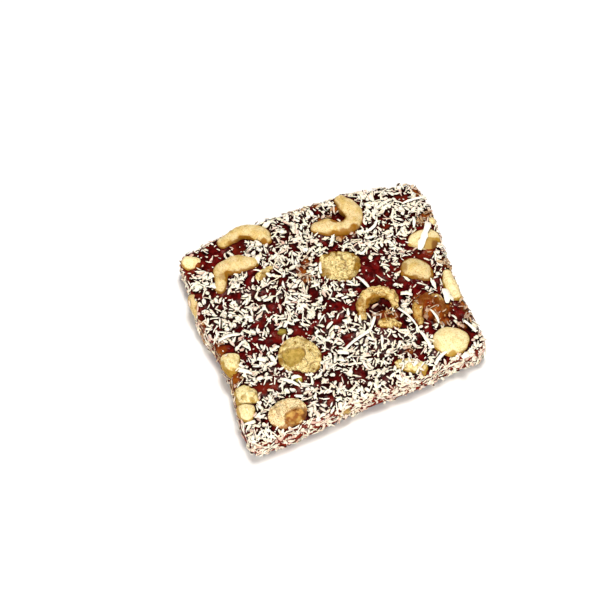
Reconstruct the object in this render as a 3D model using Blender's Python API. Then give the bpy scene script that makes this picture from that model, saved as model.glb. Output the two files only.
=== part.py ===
"""A hand-cut slab of carrot delight: dark carrot paste with whole and cut nuts, rolled in coconut.

The slab lies flat on its underside.  X runs across the front edge, Y to the back, Z up.
Lengths are in metres; MM turns a length in millimetres into metres.
"""
import math
import random

import bmesh
import bpy
import numpy as np
from mathutils import Matrix, Vector
from mathutils.bvhtree import BVHTree

MM = 0.001

# ---- driving dimensions of the slab --------------------------------------------------------
THICKNESS = 13.0 * MM
CORNERS = {
    "front_left": (-54.4, -49.3),
    "front_right": (49.2, -42.6),
    "back_right": (53.8, 43.6),
    "back_left": (-52.6, 44.2),
}
# How far each hand-cut edge leaves the straight line between its corners, in millimetres
# outwards, at fractions of the edge's length: left to right, or front to back.
EDGE_BOWS = {
    "front": ((0.0, 0.0), (0.2, 0.5), (0.45, -0.6), (0.7, 0.6), (0.85, -0.3), (1.0, 0.0)),
    "back": ((0.0, 0.0), (0.1, 1.8), (0.22, 3.8), (0.37, 4.0), (0.5, 4.8), (0.72, 4.8),
             (0.82, 3.6), (0.93, 0.9), (1.0, 0.0)),
    "left": ((0.0, 0.0), (0.12, 1.0), (0.26, -0.4), (0.37, -1.8), (0.48, -0.8), (0.6, 1.2),
             (0.7, 1.6), (0.8, 0.9), (0.9, 0.2), (1.0, 0.0)),
    "right": ((0.0, 0.0), (0.15, -0.3), (0.31, -0.8), (0.44, -0.2), (0.57, 0.7), (0.72, 2.6),
              (0.83, 3.0), (0.93, 1.8), (1.0, 0.0)),
}
# The wall from the top face down: height above the underside, and how far it lies inside the
# outline, in millimetres.
WALL_RINGS = ((12.6, 1.5), (11.3, 0.35), (8.6, 0.0), (4.6, 0.3), (1.2, 0.1), (0.0, 0.9))
CORNER_ROUNDING = 1.2 * MM
WALL_RIPPLE = 0.35 * MM
RIPPLES_ROUND = (11.0, 23.0)
TOP_SWELL = 0.35 * MM
SWELL_ACROSS = 13.0
SWELL_DEEP = 17.0
SWELL_SLANTING = 9.0
CELLS_ACROSS = 19
CELLS_DEEP = 17

# ---- fit and detail ------------------------------------------------------------------------
POCKET_GAP = 0.42 * MM
SHRED_SEED = 11
SHREDS_ON_TOP = 96
SHREDS_ON_WALLS = 52
SHRED_LENGTH = (4.6 * MM, 8.6 * MM)
SHRED_WIDTH = (1.1 * MM, 1.9 * MM)
SHRED_THICKNESS = 1.0 * MM
SHRED_SUNK = 0.42 * MM
SHRED_CURVE = 0.7 * MM
SHRED_TAPER = 0.45
SHRED_TO_NUT = 1.0 * MM
SHRED_TO_SHRED = 2.1 * MM
SHRED_SAMPLE_STEP = 1.0 * MM
SHRED_LIFT_LIMIT = 0.45 * MM
SHRED_LOWEST = 1.6 * MM
SHRED_TRIES = 12000
TOP_RAY_REACH = 60.0 * MM
WALL_RAY_REACH = 20.0 * MM
WALL_RAY_HEIGHTS = (3.0 * MM, 9.6 * MM)
FACING = 0.8
OUTLINE_STEP = 0.02
CHIP_SPREAD = (0.86, 1.04)
CHIP_STRAY = 0.5
DISH_EDGE = 1.05
DISH_SLOPE = 0.3

# ---- where the nuts lie ---------------------------------------------------------------------
# Bent kernels: stations along the middle line, each x, y and width in millimetres.
LINES = {
    "cashew_back_left": ((-33.0, 43.0, 5.8), (-29.6, 44.0, 6.2), (-25.2, 45.4, 6.2),
                         (-20.8, 44.7, 7.2), (-16.6, 41.2, 7.8), (-15.8, 38.0, 5.6)),
    "cashew_left": ((-41.8, 22.6, 5.2), (-40.4, 25.6, 5.6), (-38.6, 29.8, 7.4),
                    (-34.4, 31.2, 8.4), (-29.7, 30.6, 8.6), (-25.4, 29.2, 6.2)),
    "cashew_back": ((6.6, 35.6, 6.2), (10.4, 34.5, 8.6), (15.4, 31.8, 7.4), (20.8, 32.2, 7.8),
                    (24.0, 36.6, 8.0), (22.4, 41.6, 8.0), (21.2, 45.2, 5.6)),
    "hollow_nut": ((7.8, -12.0, 3.8), (8.4, -8.8, 4.4), (11.0, -5.0, 5.6), (15.2, -3.3, 6.4),
                   (19.6, -4.2, 6.2), (22.3, -7.9, 5.0), (21.7, -11.8, 3.8)),
    "hollow_nut_rim": ((13.4, -17.4, 4.4), (16.4, -18.8, 5.2), (19.4, -20.7, 4.2)),
    "amber_nut": ((28.0, -23.0, 3.8), (28.9, -18.6, 4.8), (31.6, -14.5, 5.4),
                  (36.0, -13.4, 5.6), (39.2, -16.8, 5.2), (38.8, -21.6, 4.4)),
    "covered_nut": ((12.6, -37.4, 5.4), (16.4, -39.4, 6.8), (20.2, -42.0, 5.2)),
    "nut_right_edge": ((48.4, -5.0, 4.0), (47.3, -8.6, 5.6), (46.9, -12.4, 6.0),
                       (46.9, -16.4, 5.4)),
    "nut_back_wall_right": ((31.4, 43.6, 5.0), (36.0, 45.0, 6.2), (40.6, 43.8, 5.0)),
}
# Round kernels: reaches from the middle at every thirty degrees, anticlockwise from the right.
OUTLINES = {
    "cut_nut_middle": (9.4, 8.4, 6.9, 7.6, 9.0, 8.8, 9.4, 8.2, 7.3, 8.3, 8.0, 8.4),
    "halved_hazelnut": (8.4, 8.6, 9.5, 9.8, 9.3, 8.8, 8.3, 7.4, 5.8, 7.4, 9.4, 8.8),
    "nut_front": (7.9, 7.6, 6.6, 6.1, 6.4, 7.4, 8.0, 7.4, 6.2, 5.8, 6.4, 7.3),
    "nut_back_right": (7.8, 7.2, 6.4, 5.9, 6.2, 7.1, 7.8, 5.8, 5.5, 5.9, 6.4, 7.5),
    "nut_right": (6.7, 6.2, 6.4, 6.9, 7.1, 7.1, 7.0, 5.0, 4.6, 5.6, 7.8, 7.6),
    "pale_nut": (8.2, 7.5, 6.9, 7.3, 7.7, 8.3, 8.3, 7.8, 7.5, 6.8, 7.2, 7.9),
    "nut_left_edge": (4.7, 5.1, 5.6, 5.8, 5.8, 5.0, 4.0, 3.9, 4.8, 6.4, 5.2, 4.5),
    "nut_front_left": (4.6, 4.7, 5.1, 5.8, 6.2, 5.3, 4.7, 5.1, 5.5, 5.5, 6.0, 5.3),
    "nut_corner": (4.2, 4.6, 5.0, 5.0, 5.0, 4.2, 3.6, 3.8, 4.5, 4.7, 4.3, 4.0),
}
# Hollows: place from the nut's middle, depth, and reaches round that place.
DISHES = {
    "halved_hazelnut": (-2.2, 1.1, 1.3,
                        (5.6, 5.6, 4.3, 4.5, 4.7, 5.0, 5.2, 5.2, 4.7, 4.1, 3.7, 4.2)),
    "nut_front": (2.8, -2.0, 1.7, (4.0, 3.8, 3.2, 2.9, 3.2, 4.4, 4.9, 4.2, 3.4, 2.9, 2.9, 3.4)),
}
# The split kernel at the front left: the split's direction, and its distance from each half.
SPLIT_DIRECTION = -110.0
SPLIT_FROM_UPPER = 3.43
SPLIT_FROM_LOWER = 2.56


# ---- scene and materials -------------------------------------------------------------------
def clear_scene():
    """Remove every object that the file opened with."""
    for thing in list(bpy.data.objects):
        bpy.data.objects.remove(thing, do_unlink=True)


def new_collection(name):
    """A collection of its own under the scene."""
    group = bpy.data.collections.new(name)
    bpy.context.scene.collection.children.link(group)
    return group


def food_material(name, colour, roughness):
    """A Principled material with one base colour and roughness, and no metal."""
    material = bpy.data.materials.new(name)
    material.use_nodes = True
    shader = material.node_tree.nodes["Principled BSDF"]
    shader.inputs["Base Color"].default_value = (*colour, 1.0)
    shader.inputs["Roughness"].default_value = roughness
    shader.inputs["Metallic"].default_value = 0.0
    return material


def face_outwards(bm):
    """Turn every face of a closed form outwards, as its signed volume tells."""
    bmesh.ops.recalc_face_normals(bm, faces=bm.faces[:])
    if bm.calc_volume(signed=True) < 0.0:
        bmesh.ops.reverse_faces(bm, faces=bm.faces[:])
    bm.normal_update()


def add_object(name, bm, material, group):
    """Put a finished bmesh into a new, smooth-shaded object."""
    face_outwards(bm)
    mesh = bpy.data.meshes.new(name)
    bm.to_mesh(mesh)
    bm.free()
    mesh.shade_smooth()
    mesh.set_sharp_from_angle(angle=math.radians(50.0))
    if material:
        mesh.materials.append(material)
    thing = bpy.data.objects.new(name, mesh)
    group.objects.link(thing)
    return thing


# ---- the slab's form -----------------------------------------------------------------------
def smooth_between(stations, t):
    """Pass a smooth curve through (fraction, value) pairs and read it at the fraction t.

    Between two stations it is a cubic whose slope at each is that of its neighbours' chord.
    """
    xs = [x for x, _ in stations]
    ys = [y for _, y in stations]
    k = min(max(np.searchsorted(xs, t) - 1, 0), len(xs) - 2)
    def slope(i):
        a, b = max(i - 1, 0), min(i + 1, len(xs) - 1)
        return (ys[b] - ys[a]) / (xs[b] - xs[a])
    span = xs[k + 1] - xs[k]
    s = (t - xs[k]) / span
    rise = (1 + 2 * s) * (1 - s) ** 2 * ys[k] + s * s * (3 - 2 * s) * ys[k + 1]
    lean = s * (1 - s) ** 2 * slope(k) - s * s * (1 - s) * slope(k + 1)
    return rise + span * lean


def edge_point(edge, t):
    """The outline at fraction t of one edge, in metres."""
    ends = {
        "front": ("front_left", "front_right", 1.0),
        "back": ("back_left", "back_right", -1.0),
        "left": ("front_left", "back_left", -1.0),
        "right": ("front_right", "back_right", 1.0),
    }
    first, last, side = ends[edge]
    start = Vector(CORNERS[first])
    run = Vector(CORNERS[last]) - start
    outwards = Vector((run.y, -run.x)).normalized() * side
    return (start + run * t + outwards * smooth_between(EDGE_BOWS[edge], t)) * MM


def outline_patch(u, v):
    """Blend the four edges over the face: u runs left to right and v front to back."""
    corner = {name: Vector(xy) * MM for name, xy in CORNERS.items()}
    along = edge_point("front", u) * (1 - v) + edge_point("back", u) * v
    across = edge_point("left", v) * (1 - u) + edge_point("right", v) * u
    front = corner["front_left"] * (1 - u) + corner["front_right"] * u
    back = corner["back_left"] * (1 - u) + corner["back_right"] * u
    return along + across - (front * (1 - v) + back * v)


def top_swell(x, y):
    """The low waves of the pressed top face, at a place in metres."""
    a, b = x / MM, y / MM
    waves = math.sin(a / SWELL_ACROSS + 0.7) * math.cos(b / SWELL_DEEP)
    slanting = math.sin((a + b) / SWELL_SLANTING + 2.0)
    return TOP_SWELL * (waves + 0.6 * slanting)


def wall_ripple(angle, ring):
    """The uneven cut of the wall, as a function of the direction from the centre and the ring."""
    long_wave, short_wave = RIPPLES_ROUND
    waves = math.sin(long_wave * angle + 1.7 * ring) + 0.7 * math.sin(short_wave * angle - 2.3 * ring)
    return WALL_RIPPLE * waves


def inward_normal(u, v):
    """The direction in the plane from the outline towards the middle of the slab."""
    step = OUTLINE_STEP
    if v in (0.0, 1.0):
        run = outline_patch(min(u + step, 1.0), v) - outline_patch(max(u - step, 0.0), v)
        inward = Vector((-run.y, run.x)) * (1.0 if v == 0.0 else -1.0)
    else:
        run = outline_patch(u, min(v + step, 1.0)) - outline_patch(u, max(v - step, 0.0))
        inward = Vector((run.y, -run.x)) * (1.0 if u == 0.0 else -1.0)
    inward.normalize()
    if u in (0.0, 1.0) and v in (0.0, 1.0):
        inward = Vector((1.0 if u == 0.0 else -1.0, 1.0 if v == 0.0 else -1.0))
    return inward


def slab_point(u, v, ring):
    """A vertex of the slab: inside the top face (ring None) or on a ring of the wall."""
    place = outline_patch(u, v)
    if ring is None:
        return Vector((place.x, place.y, THICKNESS + top_swell(place.x, place.y)))
    height, inset = WALL_RINGS[ring]
    angle = math.atan2(place.y, place.x)
    depth = inset * MM
    if 0 < ring < len(WALL_RINGS) - 1:
        depth += wall_ripple(angle, ring)
    if u in (0.0, 1.0) and v in (0.0, 1.0):
        depth += CORNER_ROUNDING
    place = place + inward_normal(u, v) * depth
    z = height * MM
    if ring == 0:
        z += top_swell(place.x, place.y)
    return Vector((place.x, place.y, z))


def make_slab(group, material):
    """The slab before its pockets: a grid for the top face, rings of wall and one flat underside."""
    bm = bmesh.new()
    bmesh.ops.create_grid(bm, x_segments=CELLS_ACROSS, y_segments=CELLS_DEEP, size=0.5)
    bmesh.ops.translate(bm, verts=bm.verts[:], vec=(0.5, 0.5, 0.0))
    rim = [edge for edge in bm.edges if edge.is_boundary]
    for ring in range(1, len(WALL_RINGS)):
        grown = bmesh.ops.extrude_edge_only(bm, edges=rim)["geom"]
        fresh = [item for item in grown if isinstance(item, bmesh.types.BMVert)]
        rim = [item for item in grown if isinstance(item, bmesh.types.BMEdge) and item.is_boundary]
        for vert in fresh:
            vert.co.z = -ring
    bmesh.ops.holes_fill(bm, edges=rim, sides=0)
    for vert in bm.verts:
        u, v, ring = round(vert.co.x, 6), round(vert.co.y, 6), round(-vert.co.z)
        on_rim = u in (0.0, 1.0) or v in (0.0, 1.0)
        vert.co = slab_point(u, v, ring if on_rim else None)
    return add_object("slab", bm, material, group)


# ---- forms of nut, each as a bmesh round its own middle ------------------------------------
def ball(around, rings):
    """A unit sphere with its poles on Z."""
    bm = bmesh.new()
    bmesh.ops.create_uvsphere(bm, u_segments=around, v_segments=rings, radius=1.0)
    return bm


def middle_of(line):
    """The mean place of a line's stations."""
    return tuple(sum(column) / len(line) for column in list(zip(*line))[:2])


def line_nut(line, height):
    """A kernel drawn along a bent line, like a cashew, round the middle of that line.

    The line runs smoothly through its stations and on past both ends by half a width, where the
    oval section closes in a half circle.  Rings stand closer together towards both ends.
    """
    bm = ball(9, 11)
    knots = [0.0]
    for here, there in zip(line, line[1:]):
        knots.append(knots[-1] + math.dist(here[:2], there[:2]))
    first, last = line[0][2] / 2, line[-1][2] / 2
    widest = max(width for _, _, width in line)
    middle = middle_of(line)

    def read(column, spot):
        return smooth_between([(k, station[column]) for k, station in zip(knots, line)], spot)

    for vert in bm.verts:
        latitude = math.asin(max(-1.0, min(1.0, vert.co.z))) / (math.pi / 2)
        part = 0.5 + 0.25 * (latitude + vert.co.z)
        along = part * (knots[-1] + first + last) - first
        inside = max(0.0, min(knots[-1], along))
        over = along - inside
        ahead, behind = min(inside + 0.4, knots[-1]), max(inside - 0.4, 0.0)
        angle = math.atan2(read(1, ahead) - read(1, behind), read(0, ahead) - read(0, behind))
        cap = first if over < 0.0 else last
        closing = math.sqrt(max(0.0, 1.0 - (over / cap) ** 2))
        width = read(2, inside)
        ring = math.hypot(vert.co.x, vert.co.y)
        side, up = 0.0, 0.0
        if ring > 1e-6:
            side = vert.co.x / ring * closing * width / 2
            up = vert.co.y / ring * closing * height / 2 * math.sqrt(width / widest)
        x = read(0, inside) + math.cos(angle) * over - math.sin(angle) * side - middle[0]
        y = read(1, inside) + math.sin(angle) * over + math.cos(angle) * side - middle[1]
        vert.co = Vector((x, y, up)) * MM
    return bm


def round_outline(reaches, angle):
    """The reach at any angle, from reaches measured at equal steps round a middle."""
    count = len(reaches)
    stations = [(step, reaches[step % count]) for step in range(-2, count + 3)]
    return smooth_between(stations, (angle % (2 * math.pi)) * count / (2 * math.pi))


def flatten_side(bm, direction, distance):
    """Press everything beyond a plane back onto it, as where a kernel has split.

    The plane stands upright; the direction in degrees is its normal, from the kernel's middle.
    """
    normal = Vector((math.cos(math.radians(direction)), math.sin(math.radians(direction)), 0.0))
    for vert in bm.verts:
        beyond = vert.co.dot(normal) - distance * MM
        if beyond > 0.0:
            vert.co -= normal * beyond


def halved_nut(outline, depth, crown, dish=None):
    """Half a kernel lying cut face up, with a hollow in its face.

    Below the face it is half an ellipsoid; above, the cap is pressed to a low crown that steps
    down inside the hollow's own outline.
    """
    bm = ball(12, 8)
    for vert in bm.verts:
        radius = math.hypot(vert.co.x, vert.co.y)
        reach = round_outline(outline, math.atan2(vert.co.y, vert.co.x))
        x, y = vert.co.x * reach, vert.co.y * reach
        if vert.co.z > 0.01:
            z = crown * (1.0 - radius ** 4)
            if dish:
                dx, dy = x - dish[0], y - dish[1]
                away = math.hypot(dx, dy) / round_outline(dish[3], math.atan2(dy, dx))
                z -= dish[2] * max(0.0, min(1.0, (DISH_EDGE - away) / DISH_SLOPE))
        else:
            z = vert.co.z * depth
        vert.co = Vector((x, y, z)) * MM
    return bm


def outlined_nut(outline, height, split=None):
    """A whole kernel whose plan follows measured reaches, and flat where it has split."""
    bm = ball(12, 7)
    for vert in bm.verts:
        reach = round_outline(outline, math.atan2(vert.co.y, vert.co.x))
        vert.co = Vector((vert.co.x * reach, vert.co.y * reach, vert.co.z * height / 2)) * MM
    if split:
        flatten_side(bm, *split)
    return bm


def whole_nut(length, width, height, egg=0.12):
    """A round or oval kernel, a little wider towards one end."""
    bm = ball(10, 7)
    for vert in bm.verts:
        wide = 1.0 + egg * vert.co.x
        vert.co = Vector((vert.co.x * length / 2, vert.co.y * wide * width / 2,
                          vert.co.z * wide * height / 2)) * MM
    return bm


def nut_chip(length, width, height, seed, points=18):
    """A broken piece: the hull of points strewn over an ellipsoid."""
    draw = random.Random(seed)
    bm = bmesh.new()
    turn = math.pi * (3.0 - math.sqrt(5.0))
    for i in range(points):
        z = 1.0 - 2.0 * (i + 0.5) / points
        angle = i * turn + draw.uniform(-CHIP_STRAY, CHIP_STRAY)
        flat = math.sqrt(1.0 - z * z) * draw.uniform(*CHIP_SPREAD)
        bm.verts.new((flat * math.cos(angle) * length * MM / 2,
                      flat * math.sin(angle) * width * MM / 2, z * height * MM / 2))
    hull = bmesh.ops.convex_hull(bm, input=bm.verts[:])
    bmesh.ops.delete(bm, geom=hull["geom_interior"], context="VERTS")
    return bm


def grow(bm, distance):
    """Push every vertex out along its normal, for a pocket that clears the nut."""
    face_outwards(bm)
    pushes = [(vert, vert.normal * distance * vert.calc_shell_factor()) for vert in bm.verts]
    for vert, push in pushes:
        vert.co += push
    return bm


class NutSetter:
    """Sets nuts in the slab: each is an object of its own, and leaves a pocket cutter."""

    def __init__(self, parts, pockets):
        self.parts = parts
        self.pockets = pockets

    def set_nut(self, name, form, sizes, material, at, z, turn=0.0, tilt=0.0, roll=0.0):
        """Place one nut's middle at (x, y, z) millimetres, turned about Z after its tilt and roll."""
        place = Matrix.Translation(Vector((*at, z)) * MM)
        spin = (Matrix.Rotation(math.radians(turn), 4, "Z")
                @ Matrix.Rotation(math.radians(tilt), 4, "X")
                @ Matrix.Rotation(math.radians(roll), 4, "Y"))
        nut = add_object(name, form(**sizes), material, self.parts)
        nut.matrix_world = place @ spin
        pocket = add_object("pocket_" + name, grow(form(**sizes), POCKET_GAP), None, self.pockets)
        pocket.matrix_world = place @ spin
        pocket.hide_render = True
        pocket.display_type = "WIRE"


def set_all_nuts(setter, cashew, hazelnut, amber, pistachio):
    """Every nut that shows, at its place in the slab.

    z is the height of the kernel's middle, or of a halved kernel's cut face, above the underside.
    """
    put = setter.set_nut
    top = THICKNESS / MM

    def put_line(name, height, material, z):
        line = LINES[name]
        put(name, line_nut, dict(line=line, height=height), material, middle_of(line), z)

    # curved kernels, lying on their flat side in the top face
    put_line("cashew_back_left", 7.4, cashew, top - 0.7)
    put_line("cashew_left", 7.8, cashew, top - 0.8)
    put_line("cashew_back", 7.8, cashew, top - 0.7)
    put_line("hollow_nut", 8.0, hazelnut, top - 0.8)
    put_line("hollow_nut_rim", 6.6, hazelnut, top - 1.0)
    put_line("amber_nut", 7.0, amber, top - 1.4)
    put_line("covered_nut", 8.0, cashew, top - 1.7)

    # kernels cut through, with the face level with the paste
    put("cut_nut_middle", halved_nut, dict(outline=OUTLINES["cut_nut_middle"], depth=7.0,
        crown=1.1), hazelnut, (8.2, 14.5), top + 0.5)
    put("halved_hazelnut", halved_nut, dict(outline=OUTLINES["halved_hazelnut"], depth=7.6,
        crown=0.7, dish=DISHES["halved_hazelnut"]), hazelnut, (-23.6, -20.2), top + 0.9)
    put("nut_front", halved_nut, dict(outline=OUTLINES["nut_front"], depth=7.2, crown=0.9,
        dish=DISHES["nut_front"]), hazelnut, (-37.3, -41.9), top + 0.9, tilt=8)

    # whole and split kernels that stand out of the top face
    put("nut_back_right", outlined_nut, dict(outline=OUTLINES["nut_back_right"], height=7.8),
        cashew, (45.9, 13.5), top - 1.2)
    put("nut_right", outlined_nut, dict(outline=OUTLINES["nut_right"], height=9.0), cashew,
        (36.7, 0.9), top - 1.2)
    put("pale_nut", outlined_nut, dict(outline=OUTLINES["pale_nut"], height=9.6), cashew,
        (36.2, -35.4), top - 1.4)
    put("nut_left_edge", outlined_nut, dict(outline=OUTLINES["nut_left_edge"], height=9.4),
        hazelnut, (-49.9, -12.6), top - 1.8)
    put("nut_front_left", outlined_nut, dict(outline=OUTLINES["nut_front_left"], height=9.6,
        split=(SPLIT_DIRECTION, SPLIT_FROM_UPPER)), hazelnut, (-49.2, -28.9), top - 1.8)
    put("nut_corner", outlined_nut, dict(outline=OUTLINES["nut_corner"], height=9.4,
        split=(SPLIT_DIRECTION + 180.0, SPLIT_FROM_LOWER)), cashew, (-52.0, -34.9), top - 1.8)

    # broken pieces in the top face
    put("nut_wedge", nut_chip, dict(length=10.4, width=9.8, height=8.4, seed=3), cashew,
        (-48.7, 39.0), top - 1.0, turn=-20)
    put("nut_sliver", nut_chip, dict(length=14.2, width=5.8, height=5.8, seed=5), cashew,
        (-22.6, 22.8), top - 0.5, turn=24)
    put("pistachio_1", nut_chip, dict(length=4.8, width=4.2, height=3.4, seed=12, points=12),
        pistachio, (-25.8, -6.2), top + 0.1, turn=-30)
    put("pistachio_2", nut_chip, dict(length=4.8, width=4.0, height=3.4, seed=14, points=12),
        pistachio, (-27.6, -29.0), top + 0.1, turn=-35)

    # kernels that show in the cut walls and at the right edge
    put_line("nut_right_edge", 8.0, cashew, top - 2.0)
    put_line("nut_back_wall_right", 6.6, cashew, 5.4)
    put("nut_left_wall", whole_nut, dict(length=12.6, width=5.6, height=7.6), cashew,
        (-53.2, 19.6), 9.2, turn=92)
    put("nut_front_wall", nut_chip, dict(length=7.6, width=6.0, height=7.6, seed=21), cashew,
        (-14.6, -45.0), 6.6)
    put("nut_back_wall_left", whole_nut, dict(length=10.6, width=7.0, height=7.4), cashew,
        (-40.2, 45.4), 5.6, turn=4)
    put("nut_back_wall_middle", whole_nut, dict(length=13.6, width=7.6, height=8.4), hazelnut,
        (2.4, 45.8), 6.4, turn=-4)
    put("nut_right_wall_back", whole_nut, dict(length=7.6, width=4.8, height=6.8), cashew,
        (53.2, 21.2), 10.4, turn=84)
    put("nut_right_wall_front", nut_chip, dict(length=9.0, width=6.4, height=7.2, seed=30),
        cashew, (47.2, -29.6), 5.6, turn=88)


def cut_pockets(slab, pockets):
    """Take every pocket out of the slab in one exact cut, and apply it."""
    cut = slab.modifiers.new("pockets", "BOOLEAN")
    cut.operation = "DIFFERENCE"
    cut.operand_type = "COLLECTION"
    cut.collection = pockets
    cut.solver = "EXACT"
    apply_modifiers(slab)


def apply_modifiers(thing):
    """Replace a mesh by what its modifiers make of it."""
    view = bpy.context.evaluated_depsgraph_get()
    finished = bpy.data.meshes.new_from_object(thing.evaluated_get(view))
    thing.modifiers.clear()
    thing.data = finished


# ---- coconut shreds fused to the slab ------------------------------------------------------
def shred_form(length, width, curve):
    """A thin strip, bowed to one side and narrower at its ends."""
    bm = bmesh.new()
    bmesh.ops.create_cube(bm, size=1.0)
    lengthwise = [edge for edge in bm.edges if abs(edge.verts[0].co.x - edge.verts[1].co.x) > 0.5]
    bmesh.ops.subdivide_edges(bm, edges=lengthwise, cuts=1, use_grid_fill=True)
    for vert in bm.verts:
        along = 2.0 * vert.co.x
        narrow = 1.0 - SHRED_TAPER * along * along
        vert.co = Vector((vert.co.x * length,
                          vert.co.y * width * narrow + curve * (1.0 - along * along),
                          vert.co.z * SHRED_THICKNESS))
    return bm


def tree_of(thing):
    """A search tree of an object's faces in world space."""
    bm = bmesh.new()
    bm.from_mesh(thing.data)
    bm.transform(thing.matrix_world)
    tree = BVHTree.FromBMesh(bm)
    bm.free()
    return tree


def clear_of(tree, point, distance):
    """True when a point lies outside a closed solid by at least the distance.

    A ray straight up from a point outside meets the solid an even number of times.
    """
    if tree.find_nearest(point)[3] < distance:
        return False
    upwards = Vector((0.0, 0.0, 1.0))
    skip = upwards * 1e-6
    outside = True
    hit = tree.ray_cast(point, upwards)[0]
    while hit is not None:
        outside = not outside
        hit = tree.ray_cast(hit + skip, upwards)[0]
    return outside


def top_ray(draw):
    """A ray straight down onto the top face."""
    reach = TOP_RAY_REACH
    start = Vector((draw.uniform(-reach, reach), draw.uniform(-reach, reach), reach))
    return start, Vector((0.0, 0.0, -1.0))


def wall_ray(draw):
    """A ray straight in towards the wall, at a height clear of the top and the underside."""
    edge = draw.choice(("front", "back", "left", "right", "front", "left"))
    t = draw.uniform(0.03, 0.97)
    spot = edge_point(edge, t)
    u, v = {"front": (t, 0.0), "back": (t, 1.0), "left": (0.0, t), "right": (1.0, t)}[edge]
    inward = inward_normal(u, v)
    start = spot - inward * WALL_RAY_REACH
    height = draw.uniform(*WALL_RAY_HEIGHTS)
    return Vector((start.x, start.y, height)), Vector((inward.x, inward.y, 0.0))


def shred_place(slab_tree, draw, ray_maker, lean):
    """Lie a shred on the first face that a ray meets, turned any way within the lean."""
    start, direction = ray_maker(draw)
    spot, normal, _, _ = slab_tree.ray_cast(start, direction)
    if spot is None or normal.dot(direction) > -FACING:
        return None
    base = Vector((1.0, 0.0, 0.0)) if abs(normal.z) > 0.5 else Vector((-normal.y, normal.x, 0.0))
    run = Matrix.Rotation(math.radians(draw.uniform(-lean, lean)), 3, normal) @ base
    run = (run - normal * run.dot(normal)).normalized()
    side = normal.cross(run)
    middle = spot + normal * (SHRED_THICKNESS / 2 - SHRED_SUNK)
    place = Matrix((run, side, normal)).transposed().to_4x4()
    place.translation = middle
    return place


def lay_shreds(slab, nuts, group):
    """Strew the largest shreds over the top face and the walls, clear of nuts and each other."""
    draw = random.Random(SHRED_SEED)
    slab_tree = tree_of(slab)
    nut_trees = [tree_of(nut) for nut in nuts]
    laid = []
    kinds = ((top_ray, 180.0, SHREDS_ON_TOP), (wall_ray, 40.0, SHREDS_ON_WALLS))
    for ray_maker, lean, wanted in kinds:
        count = 0
        tries = 0
        while count < wanted and tries < SHRED_TRIES:
            tries += 1
            place = shred_place(slab_tree, draw, ray_maker, lean)
            length = draw.uniform(*SHRED_LENGTH)
            width = draw.uniform(*SHRED_WIDTH)
            curve = draw.uniform(-SHRED_CURVE, SHRED_CURVE)
            if place is None:
                continue
            cuts = int(length / SHRED_SAMPLE_STEP) + 1
            spots = [place @ Vector((length * (i / cuts - 0.5), 0.0, 0.0)) for i in range(cuts + 1)]
            if not shred_fits(spots, width / 2, slab_tree, nut_trees, laid):
                continue
            laid.extend(spots)
            count += 1
            shred = add_object(f"shred_{len(laid)}", shred_form(length, width, curve), None, group)
            shred.matrix_world = place
        print(ray_maker.__name__, "shreds laid:", count)


def shred_fits(spots, half_width, slab_tree, nut_trees, laid):
    """Whether a shred along these spots rests on the slab, clear of all else."""
    for spot in spots:
        gap = slab_tree.find_nearest(spot)[3]
        if gap > SHRED_LIFT_LIMIT or spot.z < SHRED_LOWEST:
            return False
        if not all(clear_of(tree, spot, SHRED_TO_NUT + half_width) for tree in nut_trees):
            return False
        if any((spot - other).length < SHRED_TO_SHRED for other in laid):
            return False
    return True


def fuse_shreds(slab, group):
    """Join the shreds to the slab in one exact union, and remove the loose ones."""
    join = slab.modifiers.new("shreds", "BOOLEAN")
    join.operation = "UNION"
    join.operand_type = "COLLECTION"
    join.collection = group
    join.solver = "EXACT"
    apply_modifiers(slab)
    for shred in list(group.objects):
        bpy.data.objects.remove(shred, do_unlink=True)
    bpy.data.collections.remove(group)


def drop_scraps(thing):
    """Keep the largest body of a mesh, and drop the slivers that a cut left loose.

    Faces belong to one body where they share an edge with nothing else.
    """
    bm = bmesh.new()
    bm.from_mesh(thing.data)
    bodies = []
    waiting = set(bm.faces)
    while waiting:
        body = []
        front = [waiting.pop()]
        while front:
            face = front.pop()
            body.append(face)
            near = {other for edge in face.edges if len(edge.link_faces) == 2
                    for other in edge.link_faces} & waiting
            waiting -= near
            front.extend(near)
        bodies.append(body)
    bodies.sort(key=len)
    for body in bodies[:-1]:
        middle = body[0].calc_center_median() / MM
        print("scrap dropped:", len(body), "faces near", [round(c, 1) for c in middle])
        bmesh.ops.delete(bm, geom=body, context="FACES")
    bm.to_mesh(thing.data)
    bm.free()


def main():
    """Build the slab with its nuts and its fused coconut."""
    clear_scene()
    parts = new_collection("carrot_delight_slab")
    pockets = new_collection("pocket_cutters")
    shreds = new_collection("loose_shreds")
    paste = food_material("paste", (0.16, 0.012, 0.010), 0.25)
    cashew = food_material("cashew", (0.74, 0.53, 0.24), 0.5)
    hazelnut = food_material("hazelnut", (0.66, 0.44, 0.17), 0.55)
    amber = food_material("amber", (0.48, 0.16, 0.02), 0.25)
    pistachio = food_material("pistachio", (0.42, 0.36, 0.06), 0.5)

    slab = make_slab(parts, paste)
    set_all_nuts(NutSetter(parts, pockets), cashew, hazelnut, amber, pistachio)
    bpy.context.view_layer.update()
    nuts = [thing for thing in parts.objects if thing is not slab]
    lay_shreds(slab, nuts, shreds)
    cut_pockets(slab, pockets)
    drop_scraps(slab)
    fuse_shreds(slab, shreds)
    drop_scraps(slab)
    print("slab triangles:", sum(len(face.vertices) - 2 for face in slab.data.polygons))


main()
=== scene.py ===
# %% [markdown]
# A slab of carrot delight. On the real thing, cooked carrot paste is pressed into a tray with
# whole and cut nuts, turned in coconut and cut by hand. The frame loaded here holds its true
# sizes: one slab and a node for each nut. This lesson dresses that frame with fine surfaces.
# %% load the frame
import math

import bpy
import numpy as np
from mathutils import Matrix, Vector
from mathutils.bvhtree import BVHTree


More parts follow.
